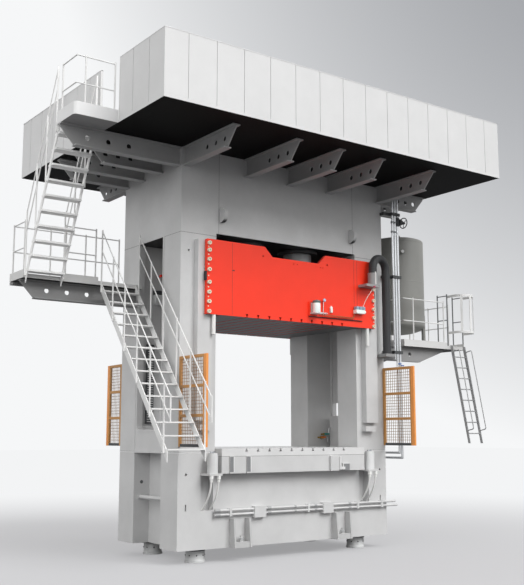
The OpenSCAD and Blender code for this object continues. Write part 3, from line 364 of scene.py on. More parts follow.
# Feet: cast levelling mounts with a machined rim under the bed and clamp screws round the body, each
# standing on the floor over its anchor bolt.
dark_iron = enamel("cast_iron_dark_paint", "#4a4c4e", rough=0.55, shade=0.12)
FOOT = np.array([2.210, 0.882])
feet_at = np.c_[FOOT * SIGNS, np.zeros(4)]
foot_profile = [
    (0.024, 0.0), (0.211, 0.0), (0.215, 0.004), (0.215, 0.042), (0.203, 0.056), (0.199, 0.066),
    (0.199, 0.232), (0.209, 0.236), (0.211, 0.240), (0.211, 0.281), (0.207, 0.285), (0.024, 0.285),
    (0.024, 0.0),
]
foot_enamel = enamel("foot_enamel_grey", "#dedfdf", rough=0.45, shade=0.1)
make(
    "feet_bodies", [turned(foot_profile, feet_at, sides=64)], foot_enamel, "frame",
    stands_for=["feet"],
)
rim = [(0.2115, 0.238), (0.214, 0.240), (0.214, 0.279), (0.2115, 0.281), (0.2115, 0.238)]
make("feet_rims", [turned(rim, feet_at, sides=64)], dark_iron, "frame")
a = np.radians(np.arange(8) * 45 + 22.5)
screw_at = (
    feet_at[:, None] + np.stack([0.199 * np.cos(a), 0.199 * np.sin(a), 0 * a + 0.15], -1)[None]
).reshape(-1, 3)
ball = [(0.0, -0.016), (0.011, -0.012), (0.016, 0.0), (0.011, 0.012), (0.0, 0.016)]
make("feet_screws", [turned(ball, screw_at, sides=10)], dark_iron, "frame")

# Columns: welded box legs joined by a web, in the same enamel as the bed, on machined foot plates, with
# tie rods of forged steel running through the legs from bed to crown.
forged_steel = metal("forged_steel_turned", "#9a9c9e", rough=0.4)
dress(machine_enamel, "column_left", "column_right")
dress(forged_steel, "tie_rods")
LEG_IN, LEG_OUT = np.array([1.990, 0.580]), np.array([2.880, 1.260])


def leg_bands(bottom, top, proud):
    """A flat collar round each of the four legs between two heights, proud of the leg's faces."""
    a, b = SIGNS * (LEG_IN - proud), SIGNS * (LEG_OUT + proud)
    return bars(np.c_[np.minimum(a, b), np.full(4, bottom)], np.c_[np.maximum(a, b), np.full(4, top)])


# Pale enamel of the column foot plates and the bolster clamp; on the bolster ribs' edges and the tank's side
# nozzle it is a painted highlight.
pale_enamel_and_highlight = enamel("pale_enamel_and_painted_highlight", "#dedede", rough=0.4)
make("column_foot_plates", [leg_bands(2.217, 2.243, 0.004)], pale_enamel_and_highlight, "frame", bevel=0.002)
joints = [leg_bands(6.831, 6.838, 0.0012), leg_bands(2.243, 2.248, 0.0012)]
make("column_joints", joints, shadow_gap, "frame", smooth=False)

# Fittings between the legs: a trip switch and a tall louvred cable duct on the left rear leg, and two small
# ball valves with painted levers on the right rear leg, piped to the valve box.
make(
    "trip_bracket", [bars([(-2.49, 0.47, 5.50)], [(-2.19, 0.581, 5.74)])], foot_enamel, "frame",
    bevel=0.03,
)
make(
    "trip_switch", [bars([(-2.49, 0.535, 5.73)], [(-2.19, 0.581, 5.84)])], dark_iron, "frame",
    bevel=0.006,
)
slat_low = np.array([(-2.62, 0.512, 2.88 + k * 0.05) for k in range(34)])
make(
    "cable_duct", [bars([(-2.64, 0.521, 2.84)], [(-2.46, 0.581, 4.60)])], dark_iron, "frame",
    bevel=0.004,
)
make(
    "cable_duct_slats", [bars(slat_low, slat_low + (0.14, 0.012, 0.018))], foot_enamel, "frame",
)


def rods(starts, ends, radius, sides=12):
    """Straight round bars: a ring of the radius square to each bar at its start and end, closed flat."""
    starts, ends = np.broadcast_arrays(
        np.atleast_2d(np.asarray(starts, float)), np.atleast_2d(np.asarray(ends, float)),
    )
    ahead = (ends - starts) / np.linalg.norm(ends - starts, axis=1, keepdims=True)
    side = np.cross(ahead, np.where(np.abs(ahead[:, 2:]) > 0.9, [1.0, 0.0, 0.0], [0.0, 0.0, 1.0]))
    side /= np.linalg.norm(side, axis=1, keepdims=True)
    lift = np.cross(side, ahead)
    a = np.arange(sides) * 2 * np.pi / sides
    ring = np.cos(a)[None, :, None] * side[:, None] + np.sin(a)[None, :, None] * lift[:, None]
    ring = ring * np.broadcast_to(np.asarray(radius, float), len(starts))[:, None, None]
    s, e = starts[:, None], ends[:, None]
    rows = np.stack([s + 0 * ring, s + ring, e + ring, e + 0 * ring], 1)
    step = np.arange(len(starts))[:, None, None] * 4 * sides
    return rows.reshape(-1, 3), (weave(4, sides) + step).reshape(-1, 4)


teal = enamel("lever_enamel_teal", "#2f9c98", rough=0.35)
signal_orange = enamel("lever_enamel_orange", "#d9762f", rough=0.35)
brass = metal("brass_turned", "#b9994f", rough=0.3)
valve_at = np.array([(2.43, 0.42, 2.62), (2.32, 0.42, 2.54)])
make(
    "column_valves",
    [
        rods(valve_at + (0, -0.04, 0), valve_at + (0, 0.161, 0), 0.022),
        rods(valve_at + (-0.05, 0, 0), valve_at + (0.05, 0, 0), 0.034),
    ],
    brass, "frame",
)
for name, p, paint in (("teal", valve_at[0], teal), ("orange", valve_at[1], signal_orange)):
    lever = [
        bars([p + (-0.07, -0.055, -0.012)], [p + (0.09, -0.040, 0.024)]),
        rods([p + (0, -0.062, 0)], [p + (0, -0.03, 0)], 0.02),
    ]
    make("valve_lever_" + name, lever, paint, "frame", bevel=0.003)
valve_pipe = bend([(2.43, 0.42, 2.62), (2.54, 0.42, 2.62), (2.54, 0.42, 2.78), (2.601, 0.42, 2.78)], 0.03)
valve_pipe_low = bend([(2.32, 0.42, 2.54), (2.50, 0.42, 2.54), (2.50, 0.42, 2.42), (2.601, 0.42, 2.42)], 0.03)
pipe_steel = metal("drawn_pipe_bright", "#dfe1e3", rough=0.28, dirt=0.1)
make(
    "column_valve_pipes", [tube(valve_pipe, 0.012, (0, 1, 0)), tube(valve_pipe_low, 0.012, (0, 1, 0))],
    pipe_steel, "frame",
)

# Crown: a welded block over the columns with half-round lifting lugs; four cylinder barrels sit in its
# bores, their flanges flush with the underside, which is painted near black as painted shade.
dress(enamel("crown_enamel_grey", "#cbcbcb", under="#1b1b1c"), "crown")
dress(dark_iron, "cylinder_barrels")
seam_low = np.array([(x, y, 6.84) for x in (-1.933, 1.927) for y in (-1.2612, 1.2588)])
make(
    "crown_seams", [bars(seam_low, seam_low + (0.006, 0.0024, 1.83))], shadow_gap, "frame",
    smooth=False,
)

# Bolster: a ribbed box in enamel under a steel plate with T-slots between ground strips, which hold the
# lower tool.
dress(machine_enamel, "bolster_box")
dress(enamel("bolster_enamel_pale", "#d6d6d6", rough=0.38), "bolster_plate", "bolster_strips")
# Dark bands over the left of the two ribs' fronts are painted shade, and so is the darker front of the second
# clamp block; pale strips at the ribs' right edges are a painted highlight, and the pale bars beside them are
# the clamp.
rib_shade_low = np.array([(x, -1.5395, 1.835) for x in (-1.789, -1.357)])
rib_highlight_low = rib_shade_low + (0.086, -0.005, 0.0)
make(
    "bolster_rib_shade",
    [
        bars(rib_shade_low, rib_shade_low + (0.086, 0.003, 0.31)),
        bars([(1.305, -1.5615, 1.812)], [(1.475, -1.557, 1.955)]),
    ],
    enamel("rib_painted_shade", "#818284", rough=0.6), "frame", smooth=False,
)
make(
    "bolster_rib_highlights_and_clamp",
    [
        bars(rib_highlight_low, rib_highlight_low + (0.023, 0.008, 0.31)),
        bars([(1.16, -1.60, 1.83), (1.20, -1.60, 1.83)], [(1.20, -1.557, 2.12), (1.31, -1.557, 1.89)]),
    ],
    pale_enamel_and_highlight, "frame", bevel=0.003,
)
make(
    "bolster_joint", [bars([(-1.9762, -1.5092, 2.152)], [(1.9762, 1.5092, 2.158)])], shadow_gap, "frame",
    smooth=False,
)

# Guide rails: planed bars bolted to the columns' faces, their sides in the columns' enamel, with bronze pads
# on the slide that run on them under a film of oil.
dress(machine_enamel, "guide_rails")
dress(metal("bronze_pads", "#a8813f", rough=0.35), "slide_gibs")

# Slide: a welded box with notched front and rear plates, sprayed in bright red enamel over its sides; its
# top faces are painted near black and dark sheets cover its ends toward the columns, both painted shade;
# the underside is bare milled steel, the screws are ivory, the main plungers nitrided grey and the
# levelling ones hard chromed.
# The over colour paints the slide's top faces near black: painted shade.
slide_enamel = enamel(
    "slide_enamel_red", "#fa3a20", rough=0.34, shade=0.03, under="#6c6d6f", under_metal=0.6, over="#343435",
    shine=0.35,
)
dress(slide_enamel, "slide_body")
ivory = enamel("screw_enamel_ivory", "#e9dfc8", rough=0.4)
dress(ivory, "slide_bolts")
# Dark sheets on the slide's ends toward the columns: painted shade.
painted_shade_dark = enamel("painted_shade_dark_grey", "#4c4a49", rough=0.6)
shade_sheet_at = np.array([(-1.9785, -1.40, 5.105), (1.9735, -1.40, 5.105)])
make(
    "slide_painted_shade_sheets", [bars(shade_sheet_at, shade_sheet_at + (0.005, 2.80, 1.24))], painted_shade_dark, "slide",
    smooth=False,
)
chrome = metal("hard_chrome", "#d6d9dc", rough=0.16, lay_mm=(500.0, 500.0, 8.0), dirt=0.1)
dress(enamel("plunger_nitrided_grey", "#a6a9aa", rough=0.4, shade=0.04), "plungers")
dress(chrome, "level_plunger_fl", "level_plunger_fr", "level_plunger_rl", "level_plunger_rr")
dress(enamel("contact_rod_white", "#e6e6e4"), "contact_rods")
SLIDE_Z, SLIDE_H, FACE = 5.095, 1.605, 1.508
bolt_rows = SLIDE_Z + SLIDE_H * np.array([0.035, 0.165, 0.29, 0.42, 0.59, 0.725, 0.848, 0.945])
between = (bolt_rows[1:] + bolt_rows[:-1]) / 2
dots_at = np.array([(sx * 2.346, 0.0, z) for sx in (-1, 1) for z in between])
dots = [
    rods(dots_at + (0, s * (FACE - 0.002), 0), dots_at + (0, s * (FACE + 0.012), 0), 0.014) for s in (-1, 1)
]
make("slide_dowels", dots, ivory, "slide")
weld_red = enamel("slide_enamel_seam", "#a92c1a", rough=0.4)
seam_low = np.array(
    [(x, y, SLIDE_Z + 0.02) for x in (-1.741, 1.731, 1.826) for y in (-FACE - 0.0012, FACE - 0.0012)]
)
seam_top = seam_low + (0.009, 0.0024, SLIDE_H - 0.04)
PLATE_TOP = 5.580
seam_low[2:, 2] = PLATE_TOP
make("slide_seams", [bars(seam_low, seam_top)], weld_red, "slide", smooth=False)
black_steel_and_shadow = enamel("phosphated_steel_and_painted_shadow", "#1d1e20", rough=0.5, shade=0.1)
corner_lock = bars(
    [(-2.402, -1.50, 5.812), (2.374, -1.50, 5.812)], [(-2.374, -1.42, 6.005), (2.402, -1.42, 6.005)],
)
# Black lock blocks at the plate's ends and a dark slot are the slide's own; the dark strip under the
# lubricator plate's lower edge is a painted shadow.
slot_and_shadow_strip = bars(
    [(-1.735, -1.5092, 6.068), (0.36, -1.5345, 5.240)], [(-1.675, -1.507, 6.090), (1.96, -1.507, 5.256)],
)
make("slide_black_fittings_and_shadow", [corner_lock, slot_and_shadow_strip], black_steel_and_shadow, "slide", bevel=0.003)
make(
    "slide_trip_dog", [bars([(-2.40, 0.39, 6.13)], [(-1.974, 0.46, 6.19)])], slide_enamel, "slide",
    bevel=0.004,
)

# Lubricator: a plate on the slide's front carries a moulded grease pot on its bracket, a gauge, a row of
# line fittings, a small pump and a valve block; thin copper lines join them.
LUBE = -1.533
pot_plastic = enamel("pot_polythene_white", "#eef8f4", rough=0.28, shade=0.02)
cap_plastic = enamel("pot_cap_grey_green", "#5d6b67", rough=0.4)
pot = [
    (0, 5.330), (0.080, 5.330), (0.088, 5.338), (0.090, 5.350), (0.090, 5.535), (0.084, 5.546),
    (0.074, 5.548), (0.0, 5.548),
]
cap = [
    (0, 5.546), (0.088, 5.546), (0.091, 5.552), (0.091, 5.596), (0.086, 5.604), (0.03, 5.610), (0.024, 5.619),
    (0, 5.619),
]
make(
    "grease_pot", [turned(pot, (0.485, -1.633, 0), sides=40)], pot_plastic, "slide",
    stands_for=["lube_unit"],
)
make("grease_pot_cap", [turned(cap, (0.485, -1.633, 0), sides=40)], cap_plastic, "slide")
make(
    "grease_pot_bracket",
    [
        bars([(0.38, -1.723, 5.300)], [(0.59, LUBE + 0.001, 5.331)]),
        bars([(0.40, LUBE - 0.012, 5.33)], [(0.57, LUBE + 0.001, 5.56)]),
    ],
    foot_enamel, "slide", bevel=0.003,
)
gauge = [
    (0, 0.0), (0.012, 0.0), (0.012, -0.03), (0.038, -0.03), (0.042, -0.036), (0.042, -0.062), (0.038, -0.068),
    (0.034, -0.064), (0, -0.064),
]
fitting_x = np.array([0.675, 0.745, 0.815])
fit_from = np.c_[fitting_x, np.full(3, LUBE + 0.001), np.full(3, 5.335)]
fit_hex = rods(fit_from, fit_from - (0, 0.03, 0), 0.028, sides=6)
fit_nose = rods(fit_from, fit_from - (0, 0.075, 0), 0.017)
make(
    "lube_fittings",
    [
        fit_hex, fit_nose, turned(gauge, (0.757, LUBE, 5.640), axis=1, sides=28),
        rods([(0.745, LUBE - 0.02, 5.36)], [(0.757, LUBE - 0.02, 5.63)], 0.009),
    ],
    pipe_steel, "slide",
)
dial = enamel("gauge_dial_white", "#b4cbee", rough=0.2)
make(
    "lube_gauge_dial",
    [rods([(0.757, LUBE - 0.0645, 5.640)], [(0.757, LUBE - 0.0655, 5.640)], 0.033, sides=28)], dial, "slide",
)
make(
    "lube_pump",
    [
        bars([(0.955, LUBE - 0.045, 5.375)], [(1.012, LUBE + 0.001, 5.507)]),
        rods([(0.983, LUBE - 0.02, 5.5)], [(0.983, LUBE - 0.02, 5.53)], 0.012),
    ],
    pot_plastic, "slide", bevel=0.004,
)
block_blue = enamel("valve_enamel_blue_grey", "#8fa6b8", rough=0.4)
make(
    "lube_valve_block",
    [
        bars([(1.68, -1.653, 5.405)], [(1.945, LUBE + 0.001, 5.496)]),
        rods([(1.94, -1.60, 5.452)], [(1.985, -1.60, 5.452)], 0.043, sides=20),
    ],
    pot_plastic, "slide", bevel=0.008,
)
make(
    "lube_valve_coils",
    [
        bars(
            [(1.69, -1.645, 5.497), (1.79, -1.645, 5.497), (1.89, -1.645, 5.497)],
            [(1.775, -1.545, 5.575), (1.875, -1.545, 5.575), (1.965, -1.545, 5.575)],
        )
    ],
    block_blue, "slide", bevel=0.008,
)
copper = metal("copper_line_drawn", "#b87f5a", rough=0.3)
lube_lines = []
for x, z in zip(fitting_x, (5.280, 5.295, 5.310)):
    way = [(x, LUBE - 0.06, 5.335), (x, LUBE - 0.06, z), (1.66, LUBE - 0.012, z), (1.70, LUBE - 0.03, 5.41)]
    lube_lines.append(tube(bend(way, 0.02), 0.0045, (0.3, 1, 0.1), sides=8))
make("lube_lines", lube_lines, copper, "slide")

# Drag hose: one thick rubber hose that feeds the slide. A bracket on the slide holds its moving leg, the
# arch rolls half as far as the slide moves, and the fixed leg hangs down to the platform's bracket.
rubber = enamel("hose_rubber_black", "#323335", rough=0.62, shade=0.1, patch_mm=300)
HOSE_R, ARCH_Z, SLEEVE_Z, HOSE_FOOT = 0.098, 6.520, 6.110, 4.510
hose_from, hose_to = np.array([2.200, -1.666]), np.array([2.725, -1.550])
arch_mid, arch_way = (hose_from + hose_to) / 2, (hose_to - hose_from) / 2
a = np.linspace(np.pi, 0, 49)[:, None]
arch_path = np.concatenate(
    [arch_mid + np.cos(a) * arch_way, ARCH_Z + np.linalg.norm(arch_way) * np.sin(a)], 1,
)
make(
    "drag_hose_arch", [tube(arch_path, HOSE_R, (-arch_way[1], arch_way[0], 0), sides=40)], rubber,
    "hose_loop", stands_for=["hose_arch"],
)
rise = np.linspace(SLEEVE_Z, ARCH_Z, 25)
moving = make(
    "drag_hose_moving", [tube(np.c_[np.tile(hose_from, (25, 1)), rise], HOSE_R, (0, 1, 0), sides=40)], rubber,
    None, stands_for=["hose_moving_leg"],
)
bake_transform(moving)
drop = np.linspace(HOSE_FOOT, ARCH_Z, 25)
fixed = make(
    "drag_hose_fixed", [tube(np.c_[np.tile(hose_to, (25, 1)), drop], HOSE_R, (0, 1, 0), sides=40)], rubber,
    "frame", stands_for=["hose_fixed_leg"],
)
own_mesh(fixed)
dress(enamel("bracket_enamel_mid_grey", "#969797"), "hose_bracket")
# A white rod up the hose sleeve where the key light glints on it: a painted highlight. The same white enamel
# is the corner hoses' hexagon fittings.
HIGHLIGHT_TURN = np.radians(-102)
highlight_at = hose_from + 0.1235 * np.array([np.cos(HIGHLIGHT_TURN), np.sin(HIGHLIGHT_TURN)])
white_enamel_and_highlight = enamel("white_fitting_and_painted_highlight", "#f2f2f0", rough=0.4)
make(
    "drag_hose_painted_highlight", [rods([(*highlight_at, 6.075)], [(*highlight_at, 6.42)], 0.013)], white_enamel_and_highlight, "slide",
)

# Slide cable: a thin white control cable from a plug on the hose bracket down to the valve block; it hangs
# a little slack between the two.
plug_red = enamel("plug_plastic_crimson", "#b3264f", rough=0.4)
make(
    "cable_plug", [bars([(2.085, -1.822, 6.030)], [(2.135, -1.790, 6.074)])], plug_red, "slide",
    bevel=0.005,
)
s = np.linspace(0, 1, 30)[:, None]
cable_from, cable_to = np.array([2.110, -1.806, 6.031]), np.array([1.930, -1.600, 5.576])
cable_way = cable_from + (cable_to - cable_from) * (1.5 * s - 0.5 * s**2)
cable_way[:, 2] = cable_from[2] + (cable_to[2] - cable_from[2]) * s[:, 0]
CABLE_R = 0.007
cable_jacket = enamel("cable_pvc_white", "#efe9e2", rough=0.4)
cable = make(
    "slide_cable", [tube(cable_way, CABLE_R, (0, 1, 0.2), sides=12)], cable_jacket, "slide",
)


# Corner cylinders: levelling cylinders in grey enamel on ledges at the bed's corners, each fed by two white
# hoses that hang from hexagon fittings under the ledge and curve back into the bed's pocket.
dress(foot_enamel, "corner_cylinders")
hose_jacket = enamel("hose_jacket_white", "#ececea", rough=0.4)
HOSE_D = 0.036
s = np.linspace(0, 1, 31)
hang = np.c_[1.563 - 0.323 * (np.maximum(0, s - 0.1) / 0.9) ** 2, 1.770 - 0.692 * s]
hex_nut = [(0, 0.0), (0.046, 0.0), (0.046, -0.070), (0.032, -0.078), (0.032, -0.130), (0, -0.130)]
for corner, (sx, sy) in zip(("rr", "rl", "fl", "fr"), SIGNS):
    for k, x in enumerate((2.084, 2.264)):
        path = np.c_[np.full(31, sx * x), sy * hang[:, 0], hang[:, 1]]
        stands = ["corner_hoses"] if (corner, k) == ("rr", 0) else []
        hose = make(
            f"corner_hose_{corner}_{k}", [tube(path, HOSE_D / 2, (1, 0, 0), sides=16)], hose_jacket, "frame",
            stands_for=stands,
        )
        nut = make(
            f"corner_fitting_{corner}_{k}", [turned(hex_nut, path[0], sides=6)], white_enamel_and_highlight, "frame",
            bevel=0.003,
        )

# Bed pipes: two pipes clipped along the bed's front, in the bed's enamel, with couplings and clips.
dress(machine_enamel, "bed_pipes")
pipe_low, pipe_high = (-1.330, 0.960), (-1.330, 1.050)
sockets = (
    (-2.02, 0.12, 0.034), (-0.68, 0.09, 0.034), (0.05, 0.05, 0.032), (0.62, 0.06, 0.033), (1.62, 0.07, 0.033),
)
couplings = [rods([(x, *p)], [(x + w, *p)], r, sides=8) for x, w, r in sockets for p in (pipe_low, pipe_high)]
make("bed_pipe_couplings", couplings, enamel("coupling_enamel_grey", "#a3a4a5"), "frame")
make(
    "bed_pipe_clip", [bars([(0.415, -1.368, 0.915)], [(0.462, -1.259, 1.095)])], foot_enamel, "frame",
    bevel=0.006,
)

# Roof room: sheet panels on a steel floor carried by I-brackets; the floor's underside is painted near
# black as painted shade; a hydraulic set stands inside: oil tank, four motor pumps, valve manifold and
# control cabinet.
panel_enamel = enamel("panel_enamel_pale", "#d4d4d4", rough=0.45, shade=0.03)
dress(panel_enamel, "roof_wall_front", "roof_wall_rear", "roof_wall_left", "roof_wall_right")
dress(
    enamel("roof_floor_enamel", "#d8d8d8", rough=0.5, shade=0.03, under="#040404", shine=0.08, tread_mm=70),
    "roof_deck",
)
# The roof brackets take a grey darker than the frame's enamel: painted shade under the roof.
dress(enamel("bracket_enamel_painted_shade", "#b2b2b2", rough=0.5), "roof_brackets")
rail_cap = bars(
    [
        (-4.704, -3.629, 10.020), (-4.704, 3.086, 10.020), (-4.704, -3.575, 10.020), (-4.704, -1.015, 10.020),
        (4.491, -3.575, 10.020),
    ],
    [
        (4.549, -3.571, 10.039), (4.549, 3.144, 10.039), (-4.646, -1.850, 10.039), (-4.646, 3.086, 10.039),
        (4.549, 3.086, 10.039),
    ],
)
make("roof_wall_caps", [rail_cap], panel_enamel, "frame", bevel=0.004)
tank_enamel = enamel("tank_enamel_grey", "#8b8b87", rough=0.5)
motor_enamel = enamel("motor_enamel_blue", "#5b7690")
dress(dark_iron, "pumps")
dress(tank_enamel, "oil_tank", "valve_manifold")
cabinet_enamel = enamel("cabinet_enamel_cream", "#dddbd2", rough=0.4)
dress(cabinet_enamel, "control_cabinet")
DECK = 8.740
motor_x = np.array([-1.500, -0.500, 0.500, 1.500])
motor_at = np.c_[motor_x, np.zeros(4), np.full(4, DECK + 0.33)]


def finned(at, inner, outer, fins, start, end):
    """Ribbed motor shells along Y: the radius steps between inner and outer with the angle, in fins ribs."""
    a = np.arange(4 * fins) * 2 * np.pi / (4 * fins)
    r = np.where(np.arange(4 * fins) % 4 < 2, outer, inner)
    ring = np.stack([r * np.cos(a), 0 * a, r * np.sin(a)], -1)
    rows = np.stack(
        [ring * 0 + (0, start, 0), ring + (0, start, 0), ring + (0, end, 0), ring * 0 + (0, end, 0)]
    )
    shape = rows.reshape(-1, 3)
    step = np.arange(len(at))[:, None, None] * len(shape)
    return (at[:, None] + shape).reshape(-1, 3), (weave(4, 4 * fins) + step).reshape(-1, 4)


bell = [(0, -0.38), (0.12, -0.38), (0.19, -0.36), (0.212, -0.32), (0.212, -0.24), (0.0, -0.24)]
head = [(0, 0.24), (0.212, 0.24), (0.212, 0.34), (0.17, 0.38), (0, 0.38)]
foot_low = np.c_[motor_x - 0.2, np.full(4, -0.35), np.full(4, DECK)]
box_low = np.c_[motor_x + 0.12, np.full(4, -0.12), np.full(4, DECK + 0.48)]
motor_parts = [
    finned(motor_at, 0.190, 0.214, 40, -0.25, 0.25), turned(bell, motor_at, axis=1, sides=40),
    turned(head, motor_at, axis=1, sides=40),
    bars(foot_low, foot_low + (0.4, 0.7, 0.05)),
    bars(foot_low + (0.03, 0.06, 0.05), foot_low + (0.37, 0.64, 0.16)),
    bars(box_low, box_low + (0.17, 0.24, 0.16)),
]
make(
    "pump_motor_shells", motor_parts, motor_enamel, "frame", bevel=0.003,
    stands_for=["pump_motors"],
)
coil_at = np.array([(2.80, y, DECK + 0.64) for y in (-0.65, -0.22, 0.22, 0.65)])
coil = [(0.0, 0.221), (0.05, 0.221), (0.055, 0.25), (0.03, 0.262), (0, 0.262)]
make("manifold_caps", [turned(coil, coil_at, sides=24)], dark_iron, "frame")
door_y = np.array([-2.68, -1.94, -1.20])
handle_low = np.c_[np.full(3, -3.762), door_y + 0.60, np.full(3, DECK + 0.55)]
hinge_low = np.array([(-3.752, y + 0.012, DECK + z) for y in door_y for z in (0.25, 0.90)])
make(
    "cabinet_handles",
    [bars(handle_low, handle_low + (0.024, 0.03, 0.17)), rods(hinge_low, hinge_low + (0, 0, 0.09), 0.011)],
    dark_iron, "frame", bevel=0.003,
)
filler = [(0, 0.0), (0.06, 0.0), (0.06, 0.05), (0.075, 0.055), (0.075, 0.10), (0.065, 0.11), (0, 0.11)]
make(
    "oil_tank_fillers", [turned(filler, [(-0.55, 1.3, DECK + 0.93), (0.55, 1.3, DECK + 0.93)], sides=24)],
    forged_steel, "frame",
)

# Stairs and landings: folded treads between flat stringers, tube handrails, in white and pale grey paint,
# with raised lozenges on what is walked on.
# Faces that point down take near black: painted shade under the decks and posts.
stair_enamel = enamel("stair_enamel_pale", "#d2d2d1", rough=0.5, under="#1c1c1d", tread_mm=60)
stair_white = enamel("stair_enamel_white", "#e4e4e3", rough=0.5)
dress(stair_enamel, "landing_deck", "tank_platform")
dress(
    stair_white, "landing_railing", "lower_stair", "lower_handrails", "top_railing", "tank_platform_railing",
)
# The upper stair and its handrails take a whiter copy of the stair white: painted light where they are lit
# brighter.
dress(enamel("stair_enamel_painted_light_white", "#f7f7f6", rough=0.5), "upper_stair", "upper_handrails")
# The brackets under the landing and the tank platform take a darker grey: painted shade below the decks.
dress(enamel("arm_enamel_painted_shade", "#8e8e8e", rough=0.5), "landing_brackets", "tank_platform_brackets")

# Ladder: flat stringers with round rungs, a hand rod hooked to each stringer, and a cage round its head with
# dark posts, white hoops and straps.
ladder_grey = enamel("ladder_enamel_grey", "#a8a9aa", rough=0.5)
dress(ladder_grey, "ladder")
LADDER_HEAD, LEAN = np.array([5.404, -1.305, 4.855]), 0.195
hand_rods = []
for x in (5.176, 5.632):
    top, foot = np.array([x, -1.385, 4.70]), np.array([x, -1.385 - LEAN * 2.0, 2.70])
    reach = np.array([0, -0.24, 0.05])
    hand_rods.append(tube(bend([top, top + reach, foot + reach, foot], 0.05), 0.013, (1, 0, 0)))
make("ladder_hand_rods", hand_rods, ladder_grey, "frame")
CAGE_R, CAGE_H, CAGE_OUT, CAGE_BACK = 0.284, 1.350, 0.249, 0.33
cage_posts, cage_hoops = [], []
for x in (-CAGE_R, CAGE_R):
    foot = LADDER_HEAD + np.array([(x, 0, 0), (x, CAGE_BACK, 0)])
    cage_posts.append(rods(foot, foot + (0, 0, CAGE_H), 0.017))
    link = LADDER_HEAD + np.array([(x, 0, CAGE_H - 0.044), (x, 0, CAGE_H / 2)])
    cage_posts.append(rods(link, link + (0, CAGE_BACK, 0), 0.013))
a = np.linspace(np.pi, 2 * np.pi, 33)
round_bow = np.c_[CAGE_R * np.cos(a), CAGE_R * np.sin(a) - CAGE_OUT]
bow = np.concatenate([[(-CAGE_R, 0.0)], round_bow, [(CAGE_R, 0.0)]]) + LADDER_HEAD[:2]


def wall(path, thick, bottom, top):
    """An upright strip along a path in plan: a rectangle, thick to the left of its way, carried along it."""
    way = np.gradient(path, axis=0)
    left = np.stack([-way[:, 1], way[:, 0]], -1) / np.linalg.norm(way, axis=1, keepdims=True)
    inner = path + thick * left
    flat = np.full(len(path), 1.0)
    rows = np.stack(
        [
            np.c_[path, flat * bottom], np.c_[path, flat * top], np.c_[inner, flat * top],
            np.c_[inner, flat * bottom],
        ],
        1,
    )
    rows = np.concatenate(
        [rows[:1].mean(1, keepdims=True).repeat(4, 1), rows, rows[-1:].mean(1, keepdims=True).repeat(4, 1)]
    )
    return rows.reshape(-1, 3), weave(len(rows), 4)


STRAP_FROM, STRAP_TO, HOOP_W = 5.165, 6.165, 0.060
for z in (STRAP_FROM, LADDER_HEAD[2] + CAGE_H - 0.10):
    cage_hoops.append(wall(bow, 0.010, z, z + HOOP_W))
for turn in np.radians((-140, -90, -40)):
    across = np.array([-np.sin(turn), np.cos(turn)]) * HOOP_W / 2
    mid = LADDER_HEAD[:2] + (0, -CAGE_OUT) + (CAGE_R + 0.003) * np.array([np.cos(turn), np.sin(turn)])
    cage_hoops.append(wall(np.array([mid - across, mid + across]), 0.011, STRAP_FROM, STRAP_TO))
cage_enamel = enamel("cage_enamel_dark", "#77797b", rough=0.5)
make("ladder_cage_posts", cage_posts, cage_enamel, "frame", stands_for=["ladder_cage"])
make("ladder_cage_hoops", cage_hoops, stair_white, "frame")

# Top platform: a folded tray at the head of the upper stair with a rounded front corner and a deep toe
# board, in the roof's pale enamel; two posts stand beside the door.
TRAY_CORNER, CORNER_R = np.array([-5.635, -1.840]), 0.08
a = np.radians(np.linspace(180, 270, 13))
round_corner = TRAY_CORNER + CORNER_R + CORNER_R * np.c_[np.cos(a), np.sin(a)]
edge = np.concatenate([[(TRAY_CORNER[0], -1.045)], round_corner, [(-4.700, TRAY_CORNER[1])]])


def slab(outline, bottom, top):
    """A plate: the outline in plan at two heights, closed to its middle point above and below."""
    mid = np.tile(outline.mean(0), (len(outline), 1))
    flat = np.ones(len(outline))
    rows = np.stack(
        [
            np.c_[mid, flat * bottom], np.c_[outline, flat * bottom], np.c_[outline, flat * top],
            np.c_[mid, flat * top],
        ]
    )
    return rows.reshape(-1, 3), weave(4, len(outline))


tray = np.concatenate(
    [[(-5.629, -1.051)], edge[1:-1] + (0.005, 0.005), [(-4.700, -1.834)], [(-4.700, -1.051)]]
)
# Faces that point down take a darker grey: painted shade under the tray.
platform_enamel = enamel(
    "platform_enamel_white", "#e4e4e4", rough=0.42, shade=0.03, under="#a0a0a0", tread_mm=60,
)
make(
    "top_platform_tray", [slab(tray, 8.680, 8.765), wall(edge, 0.012, 8.676, 8.935)], platform_enamel,
    "frame", stands_for=["top_platform"],
)
make(
    "door_posts",
    [
        bars(
            [(-4.704, -1.000, 8.745), (-4.704, -1.888, 8.745)],
            [(-4.640, -0.968, 9.90), (-4.640, -1.856, 9.90)],
        )
    ],
    stair_enamel, "frame", bevel=0.004,
)

# Pressure tank: a rolled and welded shell with dished heads on four legs, in grey enamel; a flanged nozzle
# on top, and one on the side whose end carries a pale disc, a painted highlight.
TANK = np.array([4.248, -0.375, 5.400])
TANK_R, SHELL_H, HEAD_H, LOW_HEAD_H = 0.700, 2.180, 0.120, 0.230
a = np.linspace(-np.pi / 2, 0, 17)
low_head = np.c_[TANK_R * np.cos(a), LOW_HEAD_H * np.sin(a)]
high_head = np.c_[TANK_R * np.cos(a), SHELL_H - HEAD_H * np.sin(a)][::-1]
bead = np.array([
    (0.0, -0.010), (0.0022, -0.005), (0.003, 0.0), (0.0022, 0.005), (0.0, 0.010), (-0.002, 0.010),
    (-0.002, -0.010), (0.0, -0.010),
])
tank_parts = [turned(np.concatenate([low_head, high_head]), TANK, sides=96)]
tank_parts += [turned(bead + (TANK_R, z), TANK, sides=96) for z in (0.04, 1.09, SHELL_H - 0.04)]
